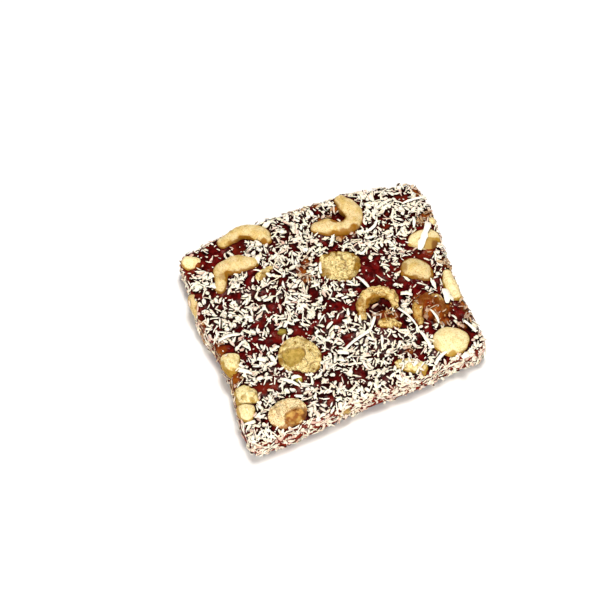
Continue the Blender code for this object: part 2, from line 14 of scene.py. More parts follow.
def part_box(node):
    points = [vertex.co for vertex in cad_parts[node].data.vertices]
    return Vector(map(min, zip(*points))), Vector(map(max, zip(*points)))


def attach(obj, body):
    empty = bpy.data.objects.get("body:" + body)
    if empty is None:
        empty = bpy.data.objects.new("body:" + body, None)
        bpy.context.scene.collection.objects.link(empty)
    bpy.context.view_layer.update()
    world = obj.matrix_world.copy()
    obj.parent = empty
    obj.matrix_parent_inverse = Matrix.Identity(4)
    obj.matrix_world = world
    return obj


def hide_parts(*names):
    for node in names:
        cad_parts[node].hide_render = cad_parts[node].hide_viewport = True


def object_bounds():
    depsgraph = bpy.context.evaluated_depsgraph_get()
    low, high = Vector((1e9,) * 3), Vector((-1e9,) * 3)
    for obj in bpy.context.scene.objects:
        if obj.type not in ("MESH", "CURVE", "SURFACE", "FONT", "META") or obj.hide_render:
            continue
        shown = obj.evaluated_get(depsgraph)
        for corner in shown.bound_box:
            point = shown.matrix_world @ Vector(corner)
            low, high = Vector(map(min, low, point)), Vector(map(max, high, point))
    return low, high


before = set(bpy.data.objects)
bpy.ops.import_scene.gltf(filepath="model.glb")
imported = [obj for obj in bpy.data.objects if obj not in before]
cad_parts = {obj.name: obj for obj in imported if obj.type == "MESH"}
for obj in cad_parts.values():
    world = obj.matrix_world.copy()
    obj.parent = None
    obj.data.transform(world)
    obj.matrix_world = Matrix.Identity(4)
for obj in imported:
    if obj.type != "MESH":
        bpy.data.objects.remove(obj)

MM = 0.001
cad_low, cad_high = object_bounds()
print("CAD box in mm:", [round(c / MM, 1) for c in (*cad_low, *cad_high)])

# %% [markdown]
# The camera comes first. It looks down on the slab from the front left, from about 0.6 m, with
# a long lens, so the far edge is only a little shorter than the near one. The aim is a point on
# the top face left of the middle, which leaves the same room round the slab as in the picture.
# %% place the camera
VIEW_AZIMUTH = math.radians(-21.7)
VIEW_ELEVATION = math.radians(58.0)
VIEW_DISTANCE = 0.616
AIM = Vector((-14.1, 7.7, 13.0)) * MM
LENS = 91.2

lens = bpy.data.cameras.new("camera")
lens.lens = LENS
camera = bpy.data.objects.new("camera", lens)
bpy.context.scene.collection.objects.link(camera)
back = Vector((math.sin(VIEW_AZIMUTH) * math.cos(VIEW_ELEVATION),
               -math.cos(VIEW_AZIMUTH) * math.cos(VIEW_ELEVATION),
               math.sin(VIEW_ELEVATION)))
camera.location = AIM + back * VIEW_DISTANCE
camera.rotation_mode = "QUATERNION"
camera.rotation_quaternion = (-back).to_track_quat("-Z", "Y")
bpy.context.scene.camera = camera
print("camera at", [round(c, 3) for c in camera.location])

# %% [markdown]
# Light for food is broad and soft, from above and a little behind, so that each shred of
# coconut throws a short soft shadow towards the viewer. Three weaker panels open the shadows,
# and the white surroundings add a little from everywhere.
# %% lights
PANELS = {
    # place and size in metres, power in watts, colour
    "key_panel": ((0.06, 0.10, 0.66), 0.18, 4.9, (1.0, 0.975, 0.93)),
    "front_panel": ((-0.16, -0.66, 0.22), 0.45, 4.4, (1.0, 0.975, 0.94)),
    "left_panel": ((-0.70, -0.10, 0.20), 0.5, 2.4, (1.0, 0.965, 0.92)),
    "right_panel": ((0.75, -0.15, 0.40), 0.5, 0.5, (1.0, 1.0, 1.0)),
}
SURROUNDINGS = 0.10


def add_panel(name, place, size, power, colour):
    """A square area light at a place, turned to face the middle of the slab's underside."""
    data = bpy.data.lights.new(name, "AREA")
    data.shape = "SQUARE"
    data.size = size
    data.energy = power
    data.color = colour
    lamp = bpy.data.objects.new(name, data)
    bpy.context.scene.collection.objects.link(lamp)
    lamp.location = place
    lamp.rotation_mode = "QUATERNION"
    lamp.rotation_quaternion = (-Vector(place)).to_track_quat("-Z", "Y")


for name, panel in PANELS.items():
    add_panel(name, *panel)
world = bpy.data.worlds.new("studio")
world.use_nodes = True
world.node_tree.nodes["Background"].inputs["Color"].default_value = (1.0, 1.0, 1.0, 1.0)
world.node_tree.nodes["Background"].inputs["Strength"].default_value = SURROUNDINGS
bpy.context.scene.world = world
bpy.context.scene.view_settings.view_transform = "Standard"
print("panels:", ", ".join(PANELS))

# %% [markdown]
# Every surface here is worked out as whole arrays and then handed to a mesh in one go. These
# helpers do the handing over, and keep named numbers on the vertices for the materials to read.
# %% helpers that turn arrays into meshes
def mesh_from_arrays(name, points, *face_sets, smooth=True):
    """A mesh from an (n, 3) array of points and arrays of faces with equal numbers of corners."""
    corners = np.concatenate([faces.ravel() for faces in face_sets]).astype(np.int32)
    counts = np.concatenate([np.full(len(faces), faces.shape[1]) for faces in face_sets])
    starts = np.concatenate(([0], np.cumsum(counts)[:-1])).astype(np.int32)
    mesh = bpy.data.meshes.new(name)
    mesh.vertices.add(len(points))
    mesh.vertices.foreach_set("co", points.astype(np.float32).ravel())
    mesh.loops.add(len(corners))
    mesh.loops.foreach_set("vertex_index", corners)
    mesh.polygons.add(len(starts))
    mesh.polygons.foreach_set("loop_start", starts)
    mesh.update(calc_edges=True)
    if smooth:
        mesh.shade_smooth()
    return mesh


def points_of(mesh):
    """The vertices of a mesh as an (n, 3) array."""
    flat = np.empty(len(mesh.vertices) * 3, np.float32)
    mesh.vertices.foreach_get("co", flat)
    return flat.reshape(-1, 3).astype(float)


def normals_of(mesh):
    """The vertex normals of a mesh as an (n, 3) array."""
    flat = np.empty(len(mesh.vertices) * 3, np.float32)
    mesh.vertex_normals.foreach_get("vector", flat)
    return flat.reshape(-1, 3).astype(float)


def emboss(mesh, height):
    """Move each vertex along its normal by its own height, in metres."""
    moved = points_of(mesh) + normals_of(mesh) * height[:, None]
    mesh.vertices.foreach_set("co", moved.astype(np.float32).ravel())
    mesh.update()


def mark(mesh, name, values):
    """Keep one number a vertex under a name, for a material to read."""
    layer = mesh.attributes.new(name, "FLOAT", "POINT")
    layer.data.foreach_set("value", np.asarray(values, np.float32))


def add_piece(name, mesh, material, slot, *nodes):
    """Link a finished mesh as a piece of the slab, standing for the nodes it covers.

    A face with n corners makes n - 2 triangles, so the count is corners less twice the faces.
    """
    mesh.materials.append(material)
    piece = bpy.data.objects.new(name, mesh)
    bpy.context.scene.collection.objects.link(piece)
    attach(piece, "root")
    if nodes:
        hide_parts(*nodes)
    print(name, "triangles:", len(mesh.loops) - 2 * len(mesh.polygons))


# %% [markdown]
# Real food is never smooth. All the unevenness here comes from value noise: random numbers at
# the corners of cubes, blended in between. Summed at falling sizes it gives lumps with grain.
# %% noise on arrays
def lattice(cells, seed):
    """A random number from -1 to 1 for each whole-number place, by mixing its three numbers."""
    k = cells.astype(np.int64)
    mixed = (k[..., 0] * 73856093) ^ (k[..., 1] * 19349663) ^ (k[..., 2] * 83492791)
    mixed = (mixed ^ (seed * 2654435761)) & 0xFFFFFFFF
    mixed = ((mixed ^ (mixed >> 15)) * 2246822519) & 0xFFFFFFFF
    mixed = ((mixed ^ (mixed >> 13)) * 3266489917) & 0xFFFFFFFF
    return ((mixed ^ (mixed >> 16)) & 0xFFFF) / 32767.5 - 1.0


def lumps(points, size, seed):
    """Value noise with cubes of one size: the eight corners' numbers weighted by nearness."""
    place = points / size
    low = np.floor(place)
    part = place - low
    part = part * part * (3.0 - 2.0 * part)
    total = np.zeros(points.shape[:-1])
    for corner in np.ndindex(2, 2, 2):
        weight = np.prod(np.where(np.array(corner) == 1, part, 1.0 - part), axis=-1)
        total += weight * lattice(low + np.array(corner), seed)
    return total


def grain(points, size, octaves, seed):
    """Lumps plus lumps half as large and half as high, and so on."""
    return sum(lumps(points, size / 2 ** k, seed + 17 * k) / 2 ** k for k in range(octaves))


def ease(low, high, value):
    """A smooth step: 0 below low, 1 above high, a cubic between."""
    t = np.clip((value - low) / (high - low), 0.0, 1.0)
    return t * t * (3.0 - 2.0 * t)


def away_from(points, x, y):
    """How far points lie from a place, seen from above."""
    return np.hypot(points[..., 0] - x, points[..., 1] - y)


def fade(away, reach, inner, outer=1.0):
    """One near a place and nought beyond it, easing between two shares of its reach."""
    return 1.0 - ease(inner * reach, outer * reach, away)


sample = grain(np.random.default_rng(1).uniform(0.0, 50.0, (2000, 3)), 5.0, 3, 1)
print("grain runs from", round(float(sample.min()), 2), "to", round(float(sample.max()), 2))

# %% [markdown]
# The outline of the slab is four hand-cut edges between four corners. Each edge is a straight
# line that a few measured bows push outwards, and the face between them is a blended patch. The
# same numbers shaped the frame, so the fine slab lies just inside its coarse one. From here on
# all sizes are in millimetres, until a mesh is made.
# %% the slab's form
TOP = 13.0
CORNERS = {
    "front_left": (-54.4, -49.3),
    "front_right": (49.2, -42.6),
    "back_right": (53.8, 43.6),
    "back_left": (-52.6, 44.2),
}
EDGE_BOWS = {
    # share of the edge's length, and how far the edge lies outside the straight line
    "front": ((0.0, 0.0), (0.2, 0.5), (0.45, -0.6), (0.7, 0.6), (0.85, -0.3), (1.0, 0.0)),
    "back": ((0.0, 0.0), (0.1, 1.8), (0.22, 3.8), (0.37, 4.0), (0.5, 4.8), (0.72, 4.8),
             (0.82, 3.6), (0.93, 0.9), (1.0, 0.0)),
    "left": ((0.0, 0.0), (0.12, 1.0), (0.26, -0.4), (0.37, -1.8), (0.48, -0.8), (0.6, 1.2),
             (0.7, 1.6), (0.8, 0.9), (0.9, 0.2), (1.0, 0.0)),
    "right": ((0.0, 0.0), (0.15, -0.3), (0.31, -0.8), (0.44, -0.2), (0.57, 0.7), (0.72, 2.6),
              (0.83, 3.0), (0.93, 1.8), (1.0, 0.0)),
}
EDGE_ENDS = {
    # the corners an edge runs between, and on which side of that run the outside lies
    "front": ("front_left", "front_right", 1.0),
    "back": ("back_left", "back_right", -1.0),
    "left": ("front_left", "back_left", -1.0),
    "right": ("front_right", "back_right", 1.0),
}
SWELL_HEIGHT = 0.35
SWELL_ACROSS, SWELL_DEEP, SWELL_SLANTING = 13.0, 17.0, 9.0
print("corners in mm:", CORNERS)


# %% curves, the face between them and its swell
def smooth_between(stations, t):
    """A cubic through (fraction, value) pairs, its slopes those of the neighbours' chords."""
    xs, ys = np.array(stations).T
    here = np.arange(len(xs))
    after, before = np.minimum(here + 1, here[-1]), np.maximum(here - 1, 0)
    slope = (ys[after] - ys[before]) / (xs[after] - xs[before])
    k = np.clip(np.searchsorted(xs, t) - 1, 0, len(xs) - 2)
    span = xs[k + 1] - xs[k]
    s = (t - xs[k]) / span
    rise = (1 + 2 * s) * (1 - s) ** 2 * ys[k] + s * s * (3 - 2 * s) * ys[k + 1]
    lean = s * (1 - s) ** 2 * slope[k] - s * s * (1 - s) * slope[k + 1]
    return rise + span * lean


def edge_curve(edge, t):
    """Points along one edge at fractions t: the straight line plus its bow."""
    first, last, side = EDGE_ENDS[edge]
    start, run = np.array(CORNERS[first]), np.subtract(CORNERS[last], CORNERS[first])
    outwards = np.array((run[1], -run[0])) / np.hypot(*run) * side
    return start + run * t[..., None] + outwards * smooth_between(EDGE_BOWS[edge], t)[..., None]


def face_patch(u, v):
    """The face between the edges: two ruled blends added, less the corners' own blend."""
    fl, fr, br, bl = (np.array(CORNERS[k]) for k in CORNERS)
    u1, v1 = u[..., None], v[..., None]
    along = edge_curve("front", u) * (1 - v1) + edge_curve("back", u) * v1
    across = edge_curve("left", v) * (1 - u1) + edge_curve("right", v) * u1
    flat = (fl * (1 - u1) + fr * u1) * (1 - v1) + (bl * (1 - u1) + br * u1) * v1
    return along + across - flat


def top_swell(x, y):
    """The low waves of the pressed top face: a sine times a cosine, plus a slanting sine."""
    waves = np.sin(x / SWELL_ACROSS + 0.7) * np.cos(y / SWELL_DEEP)
    waves = waves + 0.6 * np.sin((x + y) / SWELL_SLANTING + 2.0)
    return SWELL_HEIGHT * waves


half = np.array((0.0, 0.5))
print("middle of the front edge in mm:", edge_curve("front", half)[1].round(1))

# %% [markdown]
# Nuts next, because the paste swells where it meets them. A cashew is an oval section carried
# along a bent line. A halved hazelnut is half a ball with its face pressed flat and dished. The
# others are balls a little wider at one end. Broken pieces take the flat facets of their frame
# solid, and a soft maximum of those facets rounds the edges between them.
# %% a ball to shape nuts from
def unit_ball(around, rings):
    """A ball with poles on Z: its points, its quads and the triangles at its poles."""
    lat = np.linspace(-np.pi / 2, np.pi / 2, rings + 1)[1:-1]
    lon = np.arange(around) * 2 * np.pi / around
    lat, lon = np.meshgrid(lat, lon, indexing="ij")
    rows = np.stack((np.cos(lat) * np.cos(lon), np.cos(lat) * np.sin(lon), np.sin(lat)), axis=-1)
    points = np.concatenate((((0.0, 0.0, -1.0),), rows.reshape(-1, 3), ((0.0, 0.0, 1.0),)))
    index = 1 + np.arange((rings - 1) * around).reshape(rings - 1, around)
    east = np.roll(index, -1, axis=1)
    quads = np.stack((index[:-1], east[:-1], east[1:], index[1:]), axis=-1).reshape(-1, 4)
    south = np.stack((np.zeros(around, int), east[0], index[0]), axis=-1)
    north = np.stack((np.full(around, len(points) - 1), index[-1], east[-1]), axis=-1)
    return points, quads, np.concatenate((south, north))


BALL, BALL_QUADS, BALL_CAPS = unit_ball(around=96, rings=80)
print("ball of", len(BALL), "points")


# %% a kernel along a bent line
SECTION_POWER = 0.75
HEADING_STEP = 0.4


def line_form(line, height):
    """A kernel drawn along a bent line, like a cashew, round the middle of that line.

    The line runs smoothly through its stations, each a place and a width, and on past both ends
    by half a width, where the section closes in a half circle. The section is an oval whose
    height is its sine to a power below one, which flattens its top.
    """
    table = np.array(line)
    knots = np.concatenate(([0.0], np.cumsum(np.hypot(*np.diff(table[:, :2], axis=0).T))))
    first, last = table[0, 2] / 2, table[-1, 2] / 2
    latitude = np.arcsin(np.clip(BALL[:, 2], -1, 1)) / (np.pi / 2)
    along = (0.5 + 0.25 * (latitude + BALL[:, 2])) * (knots[-1] + first + last) - first
    inside = np.clip(along, 0.0, knots[-1])
    over = along - inside

    def read(column, spot):
        """One column of the stations at any length along the line, smoothly between them."""
        return smooth_between(np.stack((knots, table[:, column]), axis=-1), spot)

    ahead = np.minimum(inside + HEADING_STEP, knots[-1])
    behind = np.maximum(inside - HEADING_STEP, 0.0)
    angle = np.arctan2(read(1, ahead) - read(1, behind), read(0, ahead) - read(0, behind))
    width = read(2, inside)
    closing = np.sqrt(np.clip(1.0 - (over / np.where(over < 0.0, first, last)) ** 2, 0.0, 1.0))
    ring = np.maximum(np.hypot(BALL[:, 0], BALL[:, 1]), 1e-9)
    side = BALL[:, 0] / ring * closing * width / 2
    round_share = BALL[:, 1] / ring
    full = np.sign(round_share) * np.abs(round_share) ** SECTION_POWER
    up = full * closing * height / 2 * np.sqrt(width / table[:, 2].max())
    middle = middle_of(line)
    return np.stack((read(0, inside) + np.cos(angle) * over - np.sin(angle) * side - middle[0],
                     read(1, inside) + np.sin(angle) * over + np.cos(angle) * side - middle[1],
                     up), axis=-1)


def middle_of(line):
    """The mean place of a line's stations."""
    return tuple(np.array(line)[:, :2].mean(axis=0))


trial = line_form(((0.0, 0.0, 5.0), (8.0, 3.0, 7.0), (16.0, 0.0, 5.0)), 7.0)
print("a trial bent kernel in mm:", np.ptp(trial, axis=0).round(1))


# %% kernels with a measured outline
SPLIT_SLOPE = 0.04
BRINK = (0.82, 1.0)
BRINK_RAGGED = 0.10


def round_outline(reaches, angle):
    """The reach at any angle, from reaches measured at equal steps round a middle."""
    count = len(reaches)
    steps = np.arange(-2, count + 3)
    stations = np.stack((steps, np.array(reaches)[steps % count]), axis=-1)
    return smooth_between(stations, np.mod(angle, 2 * np.pi) * count / (2 * np.pi))


def flatten_side(points, direction, distance):
    """Press everything beyond an upright plane back onto it, as where a kernel has split."""
    angle = math.radians(direction)
    normal = np.array((math.cos(angle), math.sin(angle), 0.0))
    beyond = np.maximum(points @ normal - distance, 0.0)
    return points - normal * (beyond * (1.0 - SPLIT_SLOPE))[:, None]


def outlined_form(outline, height, split=None):
    """A ball whose plan follows measured reaches, split along a plane if one is given."""
    reach = round_outline(outline, np.arctan2(BALL[:, 1], BALL[:, 0]))
    points = np.stack((BALL[:, 0] * reach, BALL[:, 1] * reach, BALL[:, 2] * height / 2), axis=-1)
    return flatten_side(points, *split) if split else points


def dish_share(outline, dish):
    """How far each point lies in a halved kernel's hollow: one inside, nought outside."""
    reach = round_outline(outline, np.arctan2(BALL[:, 1], BALL[:, 0]))
    dx, dy = BALL[:, 0] * reach - dish[0], BALL[:, 1] * reach - dish[1]
    ragged = BRINK_RAGGED * grain(np.stack((dx, dy, np.zeros_like(dx)), axis=-1), 2.2, 2, 31)
    away = np.hypot(dx, dy) / round_outline(dish[3], np.arctan2(dy, dx)) + ragged
    return (1.0 - ease(*BRINK, away)) * (BALL[:, 2] > 0.0)


def halved_form(outline, depth, crown, dish=None):
    """Half a kernel, cut face up: half a ball below, a low crown above with a sunken hollow."""
    x, y, z = BALL.T
    reach = round_outline(outline, np.arctan2(y, x))
    face = crown * (1.0 - np.hypot(x, y) ** 4)
    if dish:
        face = face - dish[2] * dish_share(outline, dish)
    up = np.where(z > 0.0, face * ease(0.0, 0.12, z), z * depth)
    return np.stack((x * reach, y * reach, up), axis=-1)


trial = halved_form(outline=(8.0,) * 12, depth=7.0, crown=1.0)
print("a trial half kernel in mm:", np.ptp(trial, axis=0).round(1))


# %% whole and broken kernels, and how they are turned
EGG = 0.12
FACET_SHARPNESS = 14.0
LEAST_REACH = 0.3


def whole_form(length, width, height):
    """A ball drawn out to an oval that is a little wider towards one end."""
    wide = 1.0 + EGG * BALL[:, 0]
    return np.stack((BALL[:, 0] * length / 2, BALL[:, 1] * wide * width / 2,
                     BALL[:, 2] * wide * height / 2), axis=-1)


def chip_form(node):
    """A broken piece from its frame solid: the ball's directions meet the solid's facets.

    How far a facet lets a direction go is its distance over their cosine. The soft maximum of
    the inverses, a power mean, gives one radius with rounded edges.
    """
    low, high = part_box(node)
    centre = np.array((low + high) / 2) / MM
    facets = [(np.array(face.normal), np.array(face.center) / MM - centre)
              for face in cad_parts[node].data.polygons]
    normals = np.array([normal for normal, _ in facets])
    reach = np.array([max(float(normal @ spot), LEAST_REACH) for normal, spot in facets])
    pull = np.clip(BALL @ (normals / reach[:, None]).T, 0.0, None)
    radius = (pull ** FACET_SHARPNESS).sum(axis=1) ** (-1.0 / FACET_SHARPNESS)
    return BALL * radius[:, None] + centre


def placed(points, at, z, turn=0.0, tilt=0.0):
    """Tilt about X and turn about Z, both in degrees, then move into place."""
    t, a = math.radians(tilt), math.radians(turn)
    about_x = np.array(((1, 0, 0), (0, math.cos(t), -math.sin(t)), (0, math.sin(t), math.cos(t))))
    about_z = np.array(((math.cos(a), -math.sin(a), 0), (math.sin(a), math.cos(a), 0), (0, 0, 1)))
    return points @ (about_z @ about_x).T + np.array((*at, z))


trial = placed(whole_form(length=12.0, width=7.0, height=8.0), (0.0, 0.0), TOP, turn=90.0)
print("a trial whole kernel, turned, in mm:", np.ptp(trial, axis=0).round(1))

# %% [markdown]
# Each nut has its own entry, with the numbers that shaped its solid in the frame: bent kernels
# by the line they follow, round ones by their reach at every thirty degrees, and halved ones by
# their hollow too. Only the broken ones are read from the frame itself.
# %% the list of nuts
LINES = {
    # kind, height, how far its middle lies under the top face, stations: x, y and width
    "cashew_back_left": ("cashew", 7.4, 0.7, (
        (-33.0, 43.0, 5.8), (-29.6, 44.0, 6.2), (-25.2, 45.4, 6.2), (-20.8, 44.7, 7.2),
        (-16.6, 41.2, 7.8), (-15.8, 38.0, 5.6))),
    "cashew_left": ("cashew", 7.8, 0.8, (
        (-41.8, 22.6, 5.2), (-40.4, 25.6, 5.6), (-38.6, 29.8, 7.4), (-34.4, 31.2, 8.4),
        (-29.7, 30.6, 8.6), (-25.4, 29.2, 6.2))),
    "cashew_back": ("cashew", 7.8, 0.7, (
        (6.6, 35.6, 6.2), (10.4, 34.5, 8.6), (15.4, 31.8, 7.4), (20.8, 32.2, 7.8),
        (24.0, 36.6, 8.0), (22.4, 41.6, 8.0), (21.2, 45.2, 5.6))),
    "hollow_nut": ("hazelnut", 8.0, 0.8, (
        (7.8, -12.0, 3.8), (8.4, -8.8, 4.4), (11.0, -5.0, 5.6), (15.2, -3.3, 6.4),
        (19.6, -4.2, 6.2), (22.3, -7.9, 5.0), (21.7, -11.8, 3.8))),
    "hollow_nut_rim": ("hazelnut", 6.6, 1.0, (
        (13.4, -17.4, 4.4), (16.4, -18.8, 5.2), (19.4, -20.7, 4.2))),
    "amber_nut": ("amber", 7.0, 1.4, (
        (28.0, -23.0, 3.8), (28.9, -18.6, 4.8), (31.6, -14.5, 5.4), (36.0, -13.4, 5.6),
        (39.2, -16.8, 5.2), (38.8, -21.6, 4.4))),
    "covered_nut": ("blanched", 8.0, 1.7, (
        (12.6, -37.4, 5.4), (16.4, -39.4, 6.8), (20.2, -42.0, 5.2))),
    "nut_right_edge": ("pale", 8.0, 2.0, (
        (48.4, -5.0, 4.0), (47.3, -8.6, 5.6), (46.9, -12.4, 6.0), (46.9, -16.4, 5.4))),
    "nut_back_wall_right": ("cashew", 6.6, 7.6, (
        (31.4, 43.6, 5.0), (36.0, 45.0, 6.2), (40.6, 43.8, 5.0))),
}
OUTLINES = {
    # reaches from the middle at every thirty degrees, anticlockwise from the right
    "cut_nut_middle": (9.4, 8.4, 6.9, 7.6, 9.0, 8.8, 9.4, 8.2, 7.3, 8.3, 8.0, 8.4),
    "halved_hazelnut": (8.4, 8.6, 9.5, 9.8, 9.3, 8.8, 8.3, 7.4, 5.8, 7.4, 9.4, 8.8),
    "nut_front": (7.9, 7.6, 6.6, 6.1, 6.4, 7.4, 8.0, 7.4, 6.2, 5.8, 6.4, 7.3),
    "nut_back_right": (7.8, 7.2, 6.4, 5.9, 6.2, 7.1, 7.8, 5.8, 5.5, 5.9, 6.4, 7.5),
    "nut_right": (6.7, 6.2, 6.4, 6.9, 7.1, 7.1, 7.0, 5.0, 4.6, 5.6, 7.8, 7.6),
    "pale_nut": (8.2, 7.5, 6.9, 7.3, 7.7, 8.3, 8.3, 7.8, 7.5, 6.8, 7.2, 7.9),
    "nut_left_edge": (4.7, 5.1, 5.6, 5.8, 5.8, 5.0, 4.0, 3.9, 4.8, 6.4, 5.2, 4.5),
    "nut_front_left": (4.6, 4.7, 5.1, 5.8, 6.2, 5.3, 4.7, 5.1, 5.5, 5.5, 6.0, 5.3),
    "nut_corner": (4.2, 4.6, 5.0, 5.0, 5.0, 4.2, 3.6, 3.8, 4.5, 4.7, 4.3, 4.0),
}
DISHES = {
    # place of the hollow from the nut's middle, its depth, and its own reaches
    "halved_hazelnut": (-2.2, 1.1, 1.3,
                        (5.6, 5.6, 4.3, 4.5, 4.7, 5.0, 5.2, 5.2, 4.7, 4.1, 3.7, 4.2)),
    "nut_front": (2.8, -2.0, 1.7,
                  (4.0, 3.8, 3.2, 2.9, 3.2, 4.4, 4.9, 4.2, 3.4, 2.9, 2.9, 3.4)),
}
HALVED = {
    # kind, depth, crown, place in the plan, how far the cut lies over the top face, tilt
    "cut_nut_middle": ("cut", 7.0, 1.1, (8.2, 14.5), 0.5, 0.0),
    "halved_hazelnut": ("cut", 7.6, 0.7, (-23.6, -20.2), 0.9, 0.0),
    "nut_front": ("golden", 7.2, 0.9, (-37.3, -41.9), 0.9, 8.0),
}
SPLIT_DIRECTION = -110.0
OUTLINED = {
    # kind, height, place in the plan, how far its middle lies under the top face, its split
    "nut_back_right": ("pale", 7.8, (45.9, 13.5), 1.2),
    "nut_right": ("cashew", 9.0, (36.7, 0.9), 1.2),
    "pale_nut": ("pale", 9.6, (36.2, -35.4), 1.4),
    "nut_left_edge": ("blanched", 9.4, (-49.9, -12.6), 1.8),
    "nut_front_left": ("blanched", 9.6, (-49.2, -28.9), 1.8, (SPLIT_DIRECTION, 3.43)),
    "nut_corner": ("pale", 9.4, (-52.0, -34.9), 1.8, (SPLIT_DIRECTION + 180.0, 2.56)),
}
WHOLE = {
    # kind, length, width, height, place in the plan, height of its middle, turn
    "nut_left_wall": ("cashew", 12.6, 5.6, 7.6, (-53.2, 19.6), 9.2, 92.0),
    "nut_back_wall_left": ("cashew", 10.6, 7.0, 7.4, (-40.2, 45.4), 5.6, 4.0),
    "nut_back_wall_middle": ("hazelnut", 13.6, 7.6, 8.4, (2.4, 45.8), 6.4, -4.0),
    "nut_right_wall_back": ("pale", 7.6, 4.8, 6.8, (53.2, 21.2), 10.4, 84.0),
}
CHIPS = {
    "nut_wedge": "pale", "nut_sliver": "cut", "nut_front_wall": "cashew",
    "nut_right_wall_front": "cashew", "pistachio_1": "pistachio", "pistachio_2": "pistachio",
}
print("bent, halved, outlined, whole, broken:",
      [len(table) for table in (LINES, HALVED, OUTLINED, WHOLE, CHIPS)])

# %% shape each nut and put it in its place
NUTS = {name: (kind, placed(line_form(line, height), middle_of(line), TOP - sunk))
        for name, (kind, height, sunk, line) in LINES.items()}
for name, (kind, depth, crown, at, over, tilt) in HALVED.items():
    form = halved_form(OUTLINES[name], depth, crown, DISHES.get(name))
    NUTS[name] = (kind, placed(form, at, TOP + over, tilt=tilt))
for name, (kind, height, at, sunk, *split) in OUTLINED.items():
    NUTS[name] = (kind, placed(outlined_form(OUTLINES[name], height, *split), at, TOP - sunk))
for name, (kind, length, width, height, at, z, turn) in WHOLE.items():
    NUTS[name] = (kind, placed(whole_form(length, width, height), at, z, turn))
for name, kind in CHIPS.items():
    NUTS[name] = (kind, chip_form(name))
print("nuts placed:", len(NUTS))

# %% [markdown]
# A nut's skin tells its kind: a cashew is smooth with low dents, a hazelnut is furrowed, a cut
# face is coarse. The relief is noise along the normals, less the depth of narrow cracks. Cracks
# and hollows are also kept as marks, because both are darker than the flesh round them.
# %% relief of the nuts
RELIEF = {
    # size, octaves and height of each noise; then size and depth of cracks
    "cashew": (((5.0, 2, 0.30), (1.2, 2, 0.06)), (9.0, 0.0)),
    "hazelnut": (((3.0, 3, 0.55), (1.0, 2, 0.24)), (4.2, 0.50)),
    "cut": (((2.6, 3, 0.45), (1.0, 2, 0.28)), (3.4, 0.45)),
    "golden": (((2.6, 3, 0.36), (1.0, 2, 0.20)), (3.4, 0.25)),
    "blanched": (((3.4, 3, 0.45), (1.0, 2, 0.12)), (4.6, 0.22)),
    "pale": (((6.0, 2, 0.35), (1.5, 2, 0.05)), (8.0, 0.0)),
    "amber": (((2.4, 3, 0.55), (0.8, 2, 0.14)), (3.0, 0.25)),
    "pistachio": (((1.5, 2, 0.15), (0.6, 2, 0.05)), (1.6, 0.10)),
}
CRACK_WIDTH = 0.13
SKIN_INSET = 0.1
CALM_RELIEF, CALM_CRACKS = 0.8, 0.7


def cracks(points, size, seed):
    """One in narrow winding furrows, where noise passes through nought; nought between them."""
    return 1.0 - ease(0.0, CRACK_WIDTH, np.abs(grain(points, size, 2, seed)))


nut_meshes = {}
nut_hollows = {}
for number, (name, (kind, points)) in enumerate(NUTS.items()):
    seed = 7 * number
    mesh = mesh_from_arrays(name, points * MM, BALL_QUADS, BALL_CAPS)
    noises, (crack_size, crack_depth) = RELIEF[kind]
    hollow = dish_share(OUTLINES[name], DISHES[name]) if name in DISHES else np.zeros(len(points))
    crack = cracks(points, crack_size, 200 + seed) * (1.0 - CALM_CRACKS * hollow)
    shown = crack * ease(-0.1, 0.3, lumps(points, 5.0, 201 + seed)) * min(1.0, 2.5 * crack_depth)
    relief = sum(grain(points, size, octaves, 40 + seed) * high for size, octaves, high in noises)
    relief = relief * (1.0 - CALM_RELIEF * hollow) - crack_depth * crack - SKIN_INSET
    emboss(mesh, relief * MM)
    brink = 4.0 * hollow * (1.0 - hollow) * ease(-0.3, 0.3, grain(points, 3.0, 2, 69))
    mark(mesh, "crack", np.maximum(shown, brink))
    mark(mesh, "hollow", hollow)
    nut_meshes[name] = (kind, mesh)
    nut_hollows[name] = hollow
print("nuts shaped:", len(nut_meshes))

# %% [markdown]
# A map of the top face in half-millimetre cells says how near each place is to a nut. It is
# made by stamping the nuts' upper points on the cells and softening the stamp twice with a
# running mean, which is close to a bell curve.
# %% a plan map of nearness to nuts
CELL = 0.5
MAP_HALF = 64.0
MAP_CELLS = int(2 * MAP_HALF / CELL)
SOFT_REACH = 1.0
STAMP_DEPTH = 0.6
NEAR_GAIN = 1.4


def map_cell(points):
    """The cells of the plan map that hold points."""
    column = np.clip(((points[:, 0] + MAP_HALF) / CELL).astype(int), 0, MAP_CELLS - 1)
    row = np.clip(((points[:, 1] + MAP_HALF) / CELL).astype(int), 0, MAP_CELLS - 1)
    return column, row


def soften(field):
    """A running mean over the soft reach along both axes, done twice."""
    width = int(round(SOFT_REACH / CELL))
    kernel = np.ones(2 * width + 1) / (2 * width + 1)
    for _ in range(2):
        field = np.apply_along_axis(np.convolve, 0, field, kernel, "same")
        field = np.apply_along_axis(np.convolve, 1, field, kernel, "same")
    return field


nut_stamp = np.zeros((MAP_CELLS, MAP_CELLS))
for kind, mesh in nut_meshes.values():
    spots = points_of(mesh) / MM
    nut_stamp[map_cell(spots[spots[:, 2] > TOP - STAMP_DEPTH])] = 1.0
nut_near = np.clip(soften(nut_stamp) * NEAR_GAIN, 0.0, 1.0)
print("share of the map near a nut:", round(float((nut_near > 0.3).mean()), 3))

